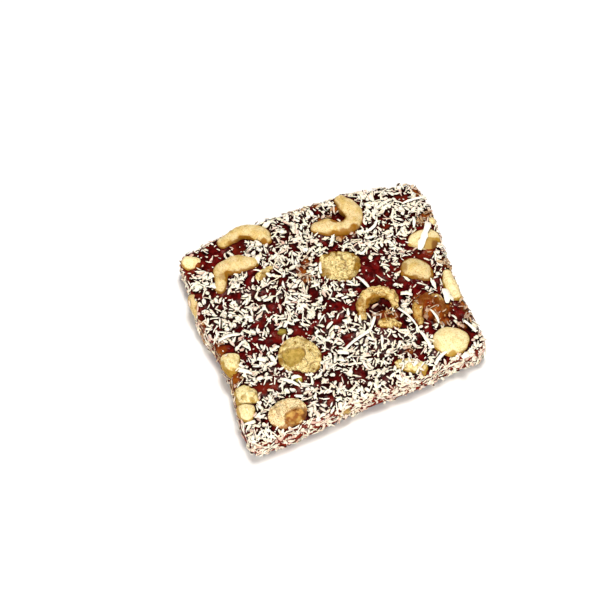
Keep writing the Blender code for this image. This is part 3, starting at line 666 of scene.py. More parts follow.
# %% [markdown]
# Where the coconut lies thick and where the paste shows through follows the real slab: broad
# swells and named bare patches, with unevenness from noise between them.
# %% where coconut lies
BARE_PATCHES = (
    # place and reach of each bare patch
    (-33.2, 6.0, 3.4), (-30.8, -9.2, 4.0), (-42.8, -28.1, 4.0), (-31.0, -33.7, 3.6),
    (20.9, 6.9, 3.7), (20.7, -36.2, 4.4), (-3.2, -35.0, 3.0), (33.9, -7.8, 3.6),
    (38.0, -25.5, 2.4), (19.0, 13.6, 3.0), (-0.8, -20.1, 2.8), (6.6, 26.6, 2.6),
    (40.6, 7.4, 3.6), (-26.5, 38.4, 4.2), (-44.4, 39.8, 3.0), (16.6, 39.2, 2.8),
    (28.5, 6.7, 2.6), (31.0, -27.2, 2.6), (-48.1, -3.8, 2.6), (-50.7, -20.1, 2.6),
    (-44.1, -38.1, 2.4), (-19.5, -42.1, 2.6), (-13.2, -6.6, 4.0), (-22.0, -9.0, 2.6),
    (15.6, -9.4, 4.8), (-44.6, -10.6, 2.4), (27.6, -14.6, 2.4), (33.0, 24.4, 2.2),
    (42.6, 21.6, 2.6), (-1.0, 12.4, 3.0), (5.6, 1.6, 2.4), (5.8, -6.4, 3.0), (44.8, 0.6, 3.0),
    (-21.0, 5.4, 2.6), (46.8, 38.2, 2.2), (34.8, -19.6, 3.0), (9.4, 43.6, 2.0),
    (-41.6, 5.4, 1.8), (2.6, -30.8, 2.2), (45.0, -25.4, 1.8), (-35.0, 0.6, 3.2),
    (-8.6, 2.4, 3.0), (1.0, -5.4, 3.6), (-5.4, -25.6, 2.6), (33.8, 30.0, 2.2),
    (50.8, 23.8, 2.8), (53.4, 41.8, 2.2), (53.6, 37.2, 1.8), (-7.4, 17.0, 1.8),
)
BROAD_COVER = (
    # place, reach and change of the broad swells of coconut
    (36.0, 36.0, 14.0, 0.24), (-9.0, 15.0, 9.0, 0.20), (-47.0, 12.0, 9.0, 0.20),
    (9.0, -25.0, 8.0, 0.34), (-18.0, -33.0, 9.0, 0.12), (2.0, -44.0, 18.0, 0.15),
    (18.0, 4.0, 9.0, -0.30), (27.0, 1.0, 12.0, -0.12), (37.0, -7.0, 10.0, -0.24),
    (42.0, -19.0, 10.0, -0.20), (-28.0, -10.0, 8.0, -0.14), (-34.0, -30.0, 12.0, -0.06),
    (-48.0, -14.0, 9.0, -0.14), (0.0, -4.0, 9.0, -0.22), (10.0, -9.0, 7.0, -0.20),
    (-36.0, 40.0, 14.0, -0.20), (-9.0, 26.0, 9.0, 0.26), (-37.0, 9.0, 7.0, 0.16),
    (4.0, 6.0, 6.0, 0.20), (28.0, 15.0, 7.0, 0.16), (42.0, 12.0, 9.0, -0.24),
)
USUAL_COVER, COVER_WAVER, LEAST_COVER = 0.62, 0.42, 0.04
BARE_SHARE = 0.18


def coconut_cover(plan):
    """How likely a shred is to stay at a place on the top face, from 0 to 1."""
    place = np.column_stack((plan[:, :2], np.zeros(len(plan))))
    cover = USUAL_COVER + COVER_WAVER * grain(place, 7.0, 3, 71)
    for x, y, reach, change in BROAD_COVER:
        cover = cover + change * fade(away_from(place, x, y), reach, 0.3, 1.3)
    ragged = 0.9 * lumps(place, 2.0, 73)
    for x, y, reach in BARE_PATCHES:
        bare = fade(away_from(place, x, y) + ragged, reach, 0.45, 1.15)
        cover = cover * (1.0 - (1.0 - BARE_SHARE) * bare)
    return np.clip(cover, LEAST_COVER, 1.0)


print("cover at the first bare patch:", coconut_cover(np.array(BARE_PATCHES[:1])).round(2))

# %% [markdown]
# The paste is one closed surface: a grid over the top, a band of rings down the cut wall and a
# grid beneath. One closed mesh has no seams to hide, and a grid bends evenly under the relief.
# %% the paste slab
ACROSS, DEEP = 176, 156
WALL_RINGS = (
    # height, and how far inside the outline, from the top face down
    (12.6, 1.5), (11.3, 0.35), (8.6, 0.0), (4.6, 0.3), (1.2, 0.1), (0.35, 0.9),
)
WALL_STEPS = 20
CORNER_ROUNDING = 1.2
BASE_LIFT = 0.35
FACE_WIDTH, FACE_DEPTH, FACE_HALF = 105.0, 92.0, 52.0
RIM_DROP, RIM_ROUND = 0.4, 2.5


def rim_cells():
    """Grid indices of the face's rim, once round, starting at the front left corner."""
    i, j = np.arange(ACROSS), np.arange(DEEP)
    front = np.stack((i, np.zeros_like(i)), axis=-1)
    right = np.stack((np.full_like(j, ACROSS), j), axis=-1)
    behind = np.stack((ACROSS - i, np.full_like(i, DEEP)), axis=-1)
    left = np.stack((np.zeros_like(j), DEEP - j), axis=-1)
    return np.concatenate((front, right, behind, left))


def outward_of(loop):
    """Outward unit vectors of a closed loop of plan points, walked anticlockwise."""
    run = np.roll(loop, -3, axis=0) - np.roll(loop, 3, axis=0)
    out = np.stack((run[:, 1], -run[:, 0]), axis=-1)
    return out / np.linalg.norm(out, axis=1)[:, None]


def wall_profile(depths):
    """Height and inset at fractions down the wall, smoothly through the rings of the frame."""
    rings = np.array(WALL_RINGS)
    stations = np.linspace(0.0, 1.0, len(rings))
    return [smooth_between(np.stack((stations, rings[:, k]), axis=-1), depths) for k in (0, 1)]


print("cells round the rim:", len(rim_cells()))


# %% top, wall and base as one closed surface
def paste_surface():
    """The points of the whole slab: top grid, wall rings and base grid, and the rim's cells."""
    u, v = np.meshgrid(np.arange(ACROSS + 1) / ACROSS, np.arange(DEEP + 1) / DEEP, indexing="ij")
    plan = face_patch(u, v)
    rim = rim_cells()
    loop = plan[rim[:, 0], rim[:, 1]]
    out = outward_of(loop)
    corner = np.minimum(np.abs(rim[:, 0] / ACROSS - 0.5), np.abs(rim[:, 1] / DEEP - 0.5)) * 2
    rounding = CORNER_ROUNDING * ease(0.93, 1.0, corner)
    height, inset = wall_profile(np.linspace(0.0, 1.0, WALL_STEPS))
    pull = inset[:, None] + rounding[None, :]
    walls = np.empty((WALL_STEPS, len(rim), 3))
    walls[..., :2] = loop[None] - out[None] * pull[..., None]
    walls[..., 2] = height[:, None]
    walls[0, :, 2] += top_swell(walls[0, :, 0], walls[0, :, 1])
    edge = np.minimum(np.minimum(u, 1 - u) * FACE_WIDTH, np.minimum(v, 1 - v) * FACE_DEPTH)
    shrink = 1.0 - WALL_RINGS[0][1] / FACE_HALF
    top = np.dstack((plan * shrink, np.full(u.shape, TOP)))
    top[..., 2] += top_swell(top[..., 0], top[..., 1]) - RIM_DROP * fade(edge, RIM_ROUND, 0.0)
    base = np.dstack((plan * shrink, np.full(u.shape, BASE_LIFT)))
    top[rim[:, 0], rim[:, 1]] = walls[0]
    base[rim[:, 0], rim[:, 1]] = walls[-1]
    return top, walls, base, rim


def paste_mesh():
    """The points and quads of the slab as one closed surface, its faces turned outwards."""
    top, walls, base, rim = paste_surface()
    count = (ACROSS + 1) * (DEEP + 1)
    grid = np.arange(count).reshape(ACROSS + 1, DEEP + 1)
    middle = 2 * count + np.arange((WALL_STEPS - 2) * len(rim)).reshape(WALL_STEPS - 2, len(rim))
    rows = np.vstack((grid[rim[:, 0], rim[:, 1]], middle, count + grid[rim[:, 0], rim[:, 1]]))
    points = np.concatenate((top.reshape(-1, 3), base.reshape(-1, 3), walls[1:-1].reshape(-1, 3)))
    up = np.stack((grid[:-1, :-1], grid[1:, :-1], grid[1:, 1:], grid[:-1, 1:]), axis=-1)
    up = up.reshape(-1, 4)
    ahead = np.roll(rows, -1, axis=1)
    band = np.stack((rows[1:], ahead[1:], ahead[:-1], rows[:-1]), axis=-1).reshape(-1, 4)
    return points, (up, up[:, ::-1] + count, band)


points, faces = paste_mesh()
paste = mesh_from_arrays("paste_slab", points * MM, *faces)
print("paste slab points:", len(points))

# %% [markdown]
# The paste is not the same everywhere. Thin places at the rim and round the nuts let light
# through and read amber. Inside a bent nut and under a cut one the paste sinks. Thick syrup
# stands up round a few nuts.
# %% amber places, dips and pools
AMBER_SPOTS = (
    # place and reach
    (53.4, 42.6, 2.4), (54.0, 39.4, 2.0), (48.8, 22.8, 2.4), (51.4, 24.4, 2.6),
    (53.6, 25.4, 2.0), (50.9, -0.2, 2.8), (48.8, -21.9, 2.8), (48.6, -26.6, 2.2),
    (-51.6, -4.6, 2.6), (-51.2, -19.6, 2.8), (12.6, -13.6, 2.0), (15.8, -14.6, 2.2),
    (19.2, -16.4, 2.4), (-7.4, 18.0, 2.5), (-7.0, 13.8, 2.2), (-4.2, 22.0, 1.8),
    (31.7, -12.6, 2.8), (39.8, -19.5, 4.2), (35.6, -24.4, 2.4), (10.6, 38.6, 2.2),
    (17.4, 42.4, 1.6), (14.0, 28.0, 1.6), (19.4, 27.6, 1.8), (18.5, -33.3, 1.6),
    (-47.0, 36.6, 1.6), (-1.0, 48.8, 2.0), (4.6, 49.0, 2.0), (11.0, 48.0, 2.0),
    (46.0, 7.6, 2.0), (43.0, -30.4, 2.0), (34.4, -16.8, 3.4), (36.6, -21.4, 3.6),
    (32.4, -21.0, 2.4), (16.2, -12.8, 2.2), (38.4, -26.4, 1.8), (-55.0, -2.0, 2.6),
    (-54.2, -21.0, 2.6), (-54.8, 9.0, 2.2), (53.6, 36.8, 1.8),
)
DIPS = (
    # place, reach and depth of the dips that nuts enclose
    (15.4, -9.4, 5.4, 2.4), (17.0, 38.4, 4.2, 1.6), (-25.0, 39.6, 5.0, 1.6),
    (-34.5, 26.0, 4.0, 1.0),
)
SYRUP_POOLS = (
    # place, reach and height of the places where thick syrup stands round a nut
    (34.6, -17.4, 6.5, 1.5), (36.4, -21.6, 5.0, 1.0), (15.6, -13.8, 3.4, 0.6),
)
UNDER_CUT_NUTS = 4.0


def amber_share(points, spread=1.0):
    """How far points lie in the thin, syrupy places: one near a spot, nought beyond it."""
    share = np.zeros(len(points))
    ragged = 0.6 * lumps(points, 1.5, 21)
    for x, y, reach in AMBER_SPOTS:
        away = away_from(points, x, y) / spread + ragged
        share = np.maximum(share, fade(away, reach, 0.45, 1.15))
    return share


def sunken(points):
    """How far the paste drops inside bent nuts and under the faces of cut ones."""
    depth = np.zeros(len(points))
    for x, y, reach, deep in DIPS:
        depth = np.maximum(depth, deep * fade(away_from(points, x, y), reach, 0.35))
    for name, (_, _, _, at, *_) in HALVED.items():
        dx, dy = points[:, 0] - at[0], points[:, 1] - at[1]
        share = np.hypot(dx, dy) / round_outline(OUTLINES[name], np.arctan2(dy, dx))
        depth = np.maximum(depth, UNDER_CUT_NUTS * (1.0 - ease(0.74, 0.96, share)))
    return depth


print("the paste sinks by up to, in mm:", round(float(sunken(points).max()), 1))

# %% [markdown]
# The relief goes on along the normals. The top is lumpy and climbs a little on to each nut, the
# cut wall is torn, and the underside is only dented, so that it still rests flat. Marks for the
# thin places and for the wall go with it, and one for the dark gaps beside the nuts is kept for
# later, when the shade of the coconut is added to it.
# %% relief of the paste
TOP_LUMPS = ((0.28, 7.0, 2, 3), (0.26, 2.2, 3, 5))
CLIMB_ON_NUTS, TOP_SINK = 0.55, 0.25
WALL_TEAR, WALL_SINK = 0.45, 0.15
BASE_DENTS = 0.2
AMBER_SWELL = 0.35
SHADE_IN_DIPS, SHADE_BESIDE_NUTS = 0.5, 0.45

facing = normals_of(paste)
upper = ease(0.3, 0.9, facing[:, 2]) * (points[:, 2] > 8.0)
wall = 1.0 - np.abs(facing[:, 2])
paste_cells = map_cell(points)
near = nut_near[paste_cells]
amber = amber_share(points)
lumpy = sum(high * grain(points, *noise) for high, *noise in TOP_LUMPS)
lift = upper * (lumpy + CLIMB_ON_NUTS * near - TOP_SINK)
lift += wall * (WALL_TEAR * grain(points, 3.4, 3, 9) - WALL_SINK)
lift -= BASE_DENTS * (facing[:, 2] < -0.5) * np.abs(grain(points, 3.0, 2, 11))
lift += AMBER_SWELL * amber * upper
lift -= sunken(points) * upper
for x, y, reach, high in SYRUP_POOLS:
    lift += high * fade(away_from(points, x, y), reach, 0.3) * upper
emboss(paste, lift * MM)
mark(paste, "amber", amber * (points[:, 2] > 5.0))
mark(paste, "wall", wall)
print("height of the paste's top:", round(float(points_of(paste)[:, 2].max()) / MM, 2))

# %% how dark the paste is beside the nuts
# painted shade on the paste: darker in the dips that nuts enclose and in the gaps beside the nuts
deepest = max(deep for *_, deep in DIPS)
shade = np.zeros(len(points))
waver = 1.0 + 0.5 * grain(points, 2.0, 3, 27)
for x, y, reach, deep in DIPS:
    dark = deep / deepest * fade(away_from(points, x, y), reach, 0.5, 1.1)
    shade = np.maximum(shade, dark * waver)
dark_beside = np.maximum(SHADE_IN_DIPS * shade, SHADE_BESIDE_NUTS * near * (shade + upper > 0.5))
print("darkest beside the nuts:", round(float(dark_beside.max()), 2))

# %% [markdown]
# A material is a short recipe. Each one starts from Object coordinates, so that its grain has
# a real size in millimetres, mixes colours by noise and by the marks on the surface, and ends
# in bump and roughness from the same grain.
# %% a small kit for materials
class Recipe:
    """A Principled material whose steps are added one by one."""

    def __init__(self, name, **fixed):
        """Start a material, and set the sockets that are the same all over."""
        self.material = bpy.data.materials.new(name)
        self.material.use_nodes = True
        self.tree = self.material.node_tree
        self.shader = self.tree.nodes["Principled BSDF"]
        self.place = self.tree.nodes.new("ShaderNodeTexCoord").outputs["Object"]
        for socket, value in fixed.items():
            self.shader.inputs[socket.replace("_", " ")].default_value = value

    def link(self, source, socket):
        """Join a step to a socket."""
        self.tree.links.new(source, socket)

    def noise(self, size, detail=3.0, stretch=(1.0, 1.0, 1.0)):
        """Noise whose lumps are about this many millimetres across, stretched along the axes."""
        scale = self.tree.nodes.new("ShaderNodeMapping")
        scale.inputs["Scale"].default_value = [1000.0 / size / part for part in stretch]
        self.link(self.place, scale.inputs["Vector"])
        texture = self.tree.nodes.new("ShaderNodeTexNoise")
        texture.inputs["Scale"].default_value = 1.0
        texture.inputs["Detail"].default_value = detail
        self.link(scale.outputs["Vector"], texture.inputs["Vector"])
        return texture.outputs["Fac"]

    def mark(self, name):
        """A number kept on the surface's points."""
        node = self.tree.nodes.new("ShaderNodeAttribute")
        node.attribute_name = name
        return node.outputs["Fac"]

    def span(self, value, low, high, start=0.0, end=1.0):
        """Map low..high to start..end, smoothly."""
        node = self.tree.nodes.new("ShaderNodeMapRange")
        node.interpolation_type = "SMOOTHSTEP"
        limits = {"From Min": low, "From Max": high, "To Min": start, "To Max": end}
        for socket, number in limits.items():
            node.inputs[socket].default_value = number
        self.link(value, node.inputs["Value"])
        return node.outputs["Result"]

    def mix(self, amount, first, second):
        """Blend two colours, each a step or three numbers."""
        node = self.tree.nodes.new("ShaderNodeMix")
        node.data_type = "RGBA"
        self.link(amount, node.inputs[0])
        for socket, colour in ((node.inputs[6], first), (node.inputs[7], second)):
            if isinstance(colour, tuple):
                socket.default_value = (*colour, 1.0)
            else:
                self.link(colour, socket)
        return node.outputs[2]

    def join(self, kind, first, second):
        """Arithmetic on two steps or numbers."""
        node = self.tree.nodes.new("ShaderNodeMath")
        node.operation = kind
        for socket, value in zip(node.inputs, (first, second)):
            if isinstance(value, float):
                socket.default_value = value
            else:
                self.link(value, socket)
        return node.outputs[0]

    def bump(self, height, depth, below=None):
        """Relief this many millimetres deep, laid over an earlier bump."""
        node = self.tree.nodes.new("ShaderNodeBump")
        node.inputs["Distance"].default_value = depth * MM
        self.link(height, node.inputs["Height"])
        if below is not None:
            self.link(below, node.inputs["Normal"])
        return node.outputs["Normal"]

    def finish(self, colour, roughness, normal):
        """Join the last steps to the shader."""
        self.link(colour, self.shader.inputs["Base Color"])
        self.link(roughness, self.shader.inputs["Roughness"])
        self.link(normal, self.shader.inputs["Normal"])
        return self.material


print("steps of a recipe:", ", ".join(step for step in vars(Recipe) if step[0] != "_"))

# %% [markdown]
# Carrot paste is cooked with sugar until it is dark and glossy. Thick, it is almost black red;
# on the cut wall it turns brick, and where it is thin it is amber. A faint clear coat gives the
# wet look. Between the shreds the paste is darker still, since little light gets down there.
# %% paste material
CLOTS = ((0.040, 0.0012, 0.0015), (0.120, 0.0038, 0.0036))
BRIGHTER_PASTE = (0.140, 0.0125, 0.0045)
PORES = (0.032, 0.0010, 0.0012)
BRICK = ((0.100, 0.0070, 0.0050), (0.290, 0.0360, 0.0140))
SHADED_PASTE = (0.009, 0.0007, 0.0008)
HONEY = ((0.170, 0.022, 0.003), (0.270, 0.078, 0.007))
BURNT_HONEY = (0.110, 0.016, 0.004)


def paste_material():
    """Dark red to brick paste with amber thin places and a wet gloss."""
    recipe = Recipe("carrot_paste", Specular_IOR_Level=0.05, Specular_Tint=(1.0, 0.55, 0.45, 1.0),
                    Coat_Weight=0.02, Coat_Roughness=0.08, IOR=1.4)
    clots = recipe.noise(2.6, 4.0)
    broad = recipe.noise(9.0, 2.0)
    fine = recipe.noise(0.7, 3.0)
    body = recipe.mix(recipe.span(clots, 0.42, 0.60), *CLOTS)
    body = recipe.mix(recipe.span(broad, 0.48, 0.66, 0.0, 0.8), body, BRIGHTER_PASTE)
    body = recipe.mix(recipe.span(fine, 0.52, 0.72, 0.0, 0.7), body, PORES)
    walls = recipe.mix(recipe.span(fine, 0.3, 0.7), *BRICK)
    body = recipe.mix(recipe.join("MULTIPLY", recipe.mark("wall"), 0.8), body, walls)
    # painted shade: the paste turns almost black where coconut lies thick, in the dips and beside the
    # nuts, though not on the cut wall
    shaded = recipe.join("MULTIPLY", recipe.span(recipe.mark("painted_shade"), 0.12, 0.60, 0.0, 0.95),
                         recipe.span(recipe.mark("wall"), 0.3, 0.8, 1.0, 0.0))
    body = recipe.mix(shaded, body, SHADED_PASTE)
    honey = recipe.mix(recipe.span(clots, 0.35, 0.65), *HONEY)
    honey = recipe.mix(recipe.span(fine, 0.40, 0.80, 0.0, 0.6), honey, BURNT_HONEY)
    body = recipe.mix(recipe.mark("amber"), body, honey)
    rough = recipe.span(fine, 0.3, 0.75, 0.16, 0.34)
    normal = recipe.bump(clots, 0.25)
    normal = recipe.bump(fine, 0.10, normal)
    return recipe.finish(body, rough, normal)


add_piece("paste_slab", paste, paste_material(), "paste", "slab")

# %% [markdown]
# Cashews are pale and smooth with a golden blush, cut hazelnut is creamy and grainy with a
# darker hollow. All have fine pits, pale flecks of painted highlight and dark cracks, and all
# turn brown or amber where they have drunk syrup. One recipe serves all, with colours of its own
# for each kind.
# %% nut materials
NUT_LOOKS = {
    "cashew": dict(flesh=(0.68, 0.535, 0.275), gold=(0.60, 0.42, 0.137),
                   stain_and_shade=(0.25, 0.100, 0.004), size=2.2, rough=0.45, pitted=0.4, cracked=0.15),
    "hazelnut": dict(flesh=(0.78, 0.60, 0.27), gold=(0.62, 0.41, 0.12),
                     stain_and_shade=(0.29, 0.125, 0.006), size=1.2, rough=0.55, pitted=0.9, cracked=1.0,
                     coarse=True),
    "cut": dict(flesh=(0.84, 0.68, 0.32), gold=(0.66, 0.48, 0.16),
                stain_and_shade=(0.26, 0.125, 0.007), size=0.9, rough=0.6, pitted=1.0, cracked=0.9,
                coarse=True, hollow=((0.53, 0.36, 0.085), (0.40, 0.26, 0.045))),
    "golden": dict(flesh=(0.82, 0.68, 0.40), gold=(0.70, 0.50, 0.22),
                   stain_and_shade=(0.26, 0.085, 0.005), size=1.4, rough=0.5, pitted=0.7, cracked=0.6,
                   coarse=True, hollow=((0.60, 0.35, 0.085), (0.30, 0.095, 0.012))),
    "blanched": dict(flesh=(0.79, 0.68, 0.37), gold=(0.70, 0.53, 0.20),
                     stain_and_shade=(0.34, 0.185, 0.014), size=1.6, rough=0.5, pitted=0.6, cracked=0.8),
    "pale": dict(flesh=(0.82, 0.70, 0.39), gold=(0.74, 0.56, 0.25),
                 stain_and_shade=(0.36, 0.195, 0.018), size=3.0, rough=0.42, pitted=0.25, cracked=0.3),
    "amber": dict(flesh=(0.56, 0.38, 0.12), gold=(0.40, 0.19, 0.025),
                  stain_and_shade=(0.17, 0.038, 0.003), size=1.4, rough=0.35, pitted=0.7, cracked=0.6,
                  gloss=0.05),
    "pistachio": dict(flesh=(0.50, 0.44, 0.07), gold=(0.36, 0.30, 0.04),
                      stain_and_shade=(0.20, 0.13, 0.02), size=0.8, rough=0.5, pitted=0.3, cracked=0.4),
}
print("grainy kinds:", [kind for kind, look in NUT_LOOKS.items() if "coarse" in look])

# %% one recipe for all nuts
BLACK = (0.0, 0.0, 0.0)
CRACK_COLOUR = (0.16, 0.070, 0.010)
DARK_BROWN_COLOUR = (0.12, 0.030, 0.006)
GLINT_GAIN, GLINT_LIFT = 1.16, 0.03


def between(first, second, share):
    """The colour that lies this share of the way from the first to the second."""
    return tuple((1.0 - share) * a + share * b for a, b in zip(first, second))


def nut_material(kind, flesh, gold, stain_and_shade, size, rough, pitted, cracked, coarse=False,
                 hollow=None, gloss=0.14):
    """Flesh that blushes gold, with grain, fibres, specks, pits, pale flecks of painted highlight, a
    hollow and cracks.

    Each step mixes one more colour in, by a noise or by a mark. Size is the size of the blush
    in millimetres, and the grain is a share of it.
    """
    recipe = Recipe(kind + "_nut", Subsurface_Weight=0.08, Subsurface_Scale=0.0010, IOR=1.45,
                    Specular_IOR_Level=gloss, Coat_Weight=0.02, Coat_Roughness=0.25)
    blotch = recipe.noise(size * 1.8, 3.0)
    fine = recipe.noise(size * 0.35, 3.0)
    speck = recipe.noise(0.5, 2.0)
    body = recipe.mix(recipe.span(blotch, 0.42, 0.70), flesh, gold)
    # golden edges and painted shade: steep sides darken towards a mix of gold and stain
    sides = recipe.join("MULTIPLY", recipe.mark("side"), recipe.span(fine, 0.2, 0.6, 0.5, 1.0))
    body = recipe.mix(sides, body, between(gold, stain_and_shade, 0.4))
    body = recipe.mix(recipe.span(fine, 0.46, 0.80, 0.0, 0.55), body, between(gold, BLACK, 0.4))
    fibre = recipe.noise(size * 0.9, 2.0, (0.45, 1.6, 1.0))
    body = recipe.mix(recipe.span(fibre, 0.50, 0.66, 0.0, 0.5), body, between(gold, BLACK, 0.15))
    specks = recipe.span(speck, 0.56 if coarse else 0.58, 0.66, 0.0, 0.9 if coarse else 0.6)
    body = recipe.mix(specks, body, stain_and_shade)
    pits = recipe.join("MULTIPLY", recipe.span(recipe.noise(1.1, 2.0), 0.56, 0.64, 0.0, pitted),
                       recipe.span(recipe.noise(4.0, 1.0), 0.42, 0.60))
    body = recipe.mix(pits, body, between(gold, stain_and_shade, 0.75))
    # painted highlights: pale flecks where a rough surface would glint
    painted_glints = recipe.span(recipe.noise(1.3, 2.0), 0.57, 0.67, 0.0, pitted)
    body = recipe.mix(painted_glints, body, tuple(min(1.0, GLINT_GAIN * f + GLINT_LIFT) for f in flesh))
    if hollow:
        deep = recipe.mix(recipe.span(blotch, 0.38, 0.62), *hollow)
        body = recipe.mix(recipe.mark("hollow"), body, deep)
    off_middle = recipe.join("SUBTRACT", recipe.noise(size * 2.6, 3.0), 0.5)
    off_middle = recipe.join("ABSOLUTE", off_middle, 0.0)
    split = recipe.join("MULTIPLY", recipe.span(off_middle, 0.002, 0.014, cracked, 0.0),
                        recipe.span(recipe.noise(size * 3.5, 1.0), 0.44, 0.58))
    body = recipe.mix(split, body, CRACK_COLOUR)
    body = recipe.mix(recipe.join("MULTIPLY", recipe.mark("crack"), 0.8), body, CRACK_COLOUR)
    # syrup stain, with painted shade in a few named places
    soaked = recipe.join("MULTIPLY", recipe.mark("stain_and_shade"), recipe.span(blotch, 0.35, 0.60, 0.85, 1.0))
    body = recipe.mix(soaked, body, stain_and_shade)
    body = recipe.mix(recipe.mark("dark_brown"), body, DARK_BROWN_COLOUR)
    roughness = recipe.span(fine, 0.3, 0.7, rough - 0.08, rough + 0.12)
    normal = recipe.bump(blotch, 0.34 if coarse else 0.16)
    normal = recipe.bump(fine, 0.42 if coarse else 0.12, normal)
    normal = recipe.bump(recipe.span(split, 0.0, 1.0, 1.0, 0.0), 0.25, normal)
    return recipe.finish(body, roughness, normal)


nut_finish = {kind: nut_material(kind, **look) for kind, look in NUT_LOOKS.items()}
print("nut materials:", ", ".join(nut_finish))

# %% [markdown]
# Syrup stains a nut from the paste up to a wavering level, and climbs higher in the places
# named here; a few of those, at lower edges and under a ribbon, are painted shade, not syrup.
# Kernels in the cut wall are stained in blots instead, and only near the top. The insides of
# bent and hollow nuts are dark brown.
# %% stains on the nuts
DARK_BROWN_PLACES = {
    # places where a nut is dark brown: x, y, reach and strength
    "hollow_nut": ((15.6, -10.6, 5.3, 0.9),), "hollow_nut_rim": ((17.0, -15.4, 2.2, 0.6),),
    "cashew_back": ((16.4, 38.6, 2.6, 0.7),), "cashew_back_left": ((-25.4, 40.2, 2.6, 0.5),),
    "nut_back_right": ((49.2, 8.6, 2.8, 0.8),), "nut_front": ((-30.4, -45.6, 2.6, 0.7),),
}
SOAKED_AND_SHADED = {
    # places where a nut has drunk syrup or is browned, and a few of painted shade: x, y, reach and
    # strength
    "hollow_nut": ((15.4, -9.2, 5.4, 0.9), (7.4, -11.0, 2.2, 0.4), (23.6, -9.0, 1.8, 0.4),
                   (8.4, -5.6, 2.6, 0.6)),
    "hollow_nut_rim": ((15.2, -15.4, 2.6, 0.8),),
    # the spot at 44.8, 12.6 is painted shade, where the widest ribbon lies over this nut
    "nut_back_right": ((47.4, 9.6, 4.2, 1.0), (50.8, 9.2, 3.4, 1.0), (44.8, 12.6, 2.0, 0.6),
                       (40.0, 12.0, 2.0, 0.3)),
    "nut_right": ((30.6, 3.8, 3.6, 0.55), (34.6, 8.2, 2.8, 0.5), (33.8, -4.0, 3.4, 0.8),
                  (43.6, -1.6, 1.8, 0.3)),
    "pale_nut": ((33.4, -42.2, 2.5, 0.9), (28.8, -34.5, 2.2, 0.35), (38.0, -28.0, 2.0, 0.3),
                 (41.6, -30.2, 1.8, 0.6)),
    "amber_nut": ((33.8, -12.8, 4.6, 0.95), (39.0, -20.8, 4.6, 0.9), (36.4, -16.4, 3.4, 0.8)),
    "nut_left_edge": ((-54.2, -12.0, 2.2, 0.7), (-50.6, -18.4, 2.8, 0.7),
                      (-45.6, -9.0, 1.8, 0.5)),
    "nut_front_left": ((-44.8, -30.0, 1.8, 0.5), (-51.0, -29.8, 1.6, 0.5),
                       (-48.2, -31.6, 1.4, 0.6)),
    "nut_corner": ((-54.6, -31.0, 2.4, 0.4),),
    "cut_nut_middle": ((18.2, 13.0, 4.0, 0.9), (16.0, 9.8, 3.6, 0.9), (9.6, 23.4, 3.4, 0.7),
                       (14.6, 20.8, 2.4, 0.6), (0.2, 12.6, 3.4, 0.5), (11.0, 7.0, 2.4, 0.5)),
    # the three spots near y 27 to 29 are partly painted shade along this cashew's lower edge
    "cashew_back": ((16.0, 37.6, 4.4, 0.9), (11.6, 28.8, 3.2, 0.9), (15.6, 27.4, 3.4, 0.9),
                    (20.6, 27.2, 3.6, 0.9), (17.0, 43.6, 3.0, 0.7), (8.6, 39.4, 2.4, 0.6)),
    "cashew_left": ((-36.0, 25.6, 3.6, 0.9), (-30.6, 26.0, 2.2, 0.7), (-26.6, 25.6, 2.2, 0.6),
                    (-44.0, 22.4, 2.2, 0.3), (-39.0, 26.4, 2.2, 0.5)),
    "cashew_back_left": ((-25.0, 40.0, 3.6, 0.8), (-30.0, 40.4, 2.2, 0.6),
                         (-17.6, 36.2, 2.4, 0.8)),
    "halved_hazelnut": ((-19.0, -13.6, 2.4, 0.4), (-26.6, -11.6, 2.6, 0.4),
                        (-31.6, -19.0, 2.0, 0.7), (-20.4, -26.6, 2.6, 0.35)),
    "nut_sliver": ((-22.6, 20.6, 3.0, 0.6), (-18.0, 26.0, 2.0, 0.5)),
    "nut_front": ((-30.8, -44.8, 3.2, 0.8), (-39.4, -48.6, 2.6, 0.4)),
    "covered_nut": ((14.6, -35.4, 2.4, 0.6), (19.0, -44.2, 2.2, 0.4)),
    "pistachio_1": ((-25.4, -5.6, 2.6, 0.6),),
}
STEEPING = {
    # material slot of each kind, and how far over the top face the paste has stained it
    "cashew": ("cashew", 0.9), "pale": ("cashew", 0.1), "hazelnut": ("hazelnut", 0.7),
    "cut": ("hazelnut", 0.2), "golden": ("hazelnut", 0.2), "blanched": ("hazelnut", 0.3),
    "amber": ("amber", 0.3), "pistachio": ("pistachio", 0.2),
}
print("nuts with soaked places:", len(SOAKED_AND_SHADED))

# %% stain and finish each nut
LEVEL_WAVER = 0.6
WALL_BLOTS = 0.7
CLEAN_BELOW, STAINED_ABOVE = 7.0, 10.0
SOAKED_AND_SHADED_RAGGED, DARK_BROWN_RAGGED = 0.24, 0.6
SIDE_BLUSH_AND_SHADE = 0.9


def syrup_stain_and_shade(name, kind, points):
    """How far syrup has stained a nut, with a few places of painted shade, from 0 to 1, at each of
    its points.
    """
    level = TOP + STEEPING[kind][1] + LEVEL_WAVER * grain(points, 2.6, 3, 61)
    stain_and_shade = 1.0 - ease(0.0, 0.8, points[:, 2] - level)
    if "wall" in name:
        stain_and_shade = WALL_BLOTS * ease(0.1, 0.5, grain(points, 4.0, 2, 69))
    ragged = grain(points, 2.2, 3, 63)
    for x, y, reach, strength in SOAKED_AND_SHADED.get(name, ()):
        away = away_from(points, x, y) + SOAKED_AND_SHADED_RAGGED * reach * ragged
        stain_and_shade = np.maximum(stain_and_shade, strength * fade(away, reach, 0.65, 1.05))
    stain_and_shade = ease(0.05, 0.85, stain_and_shade) * (1.0 - nut_hollows[name])
    return stain_and_shade * ease(CLEAN_BELOW, STAINED_ABOVE, points[:, 2])


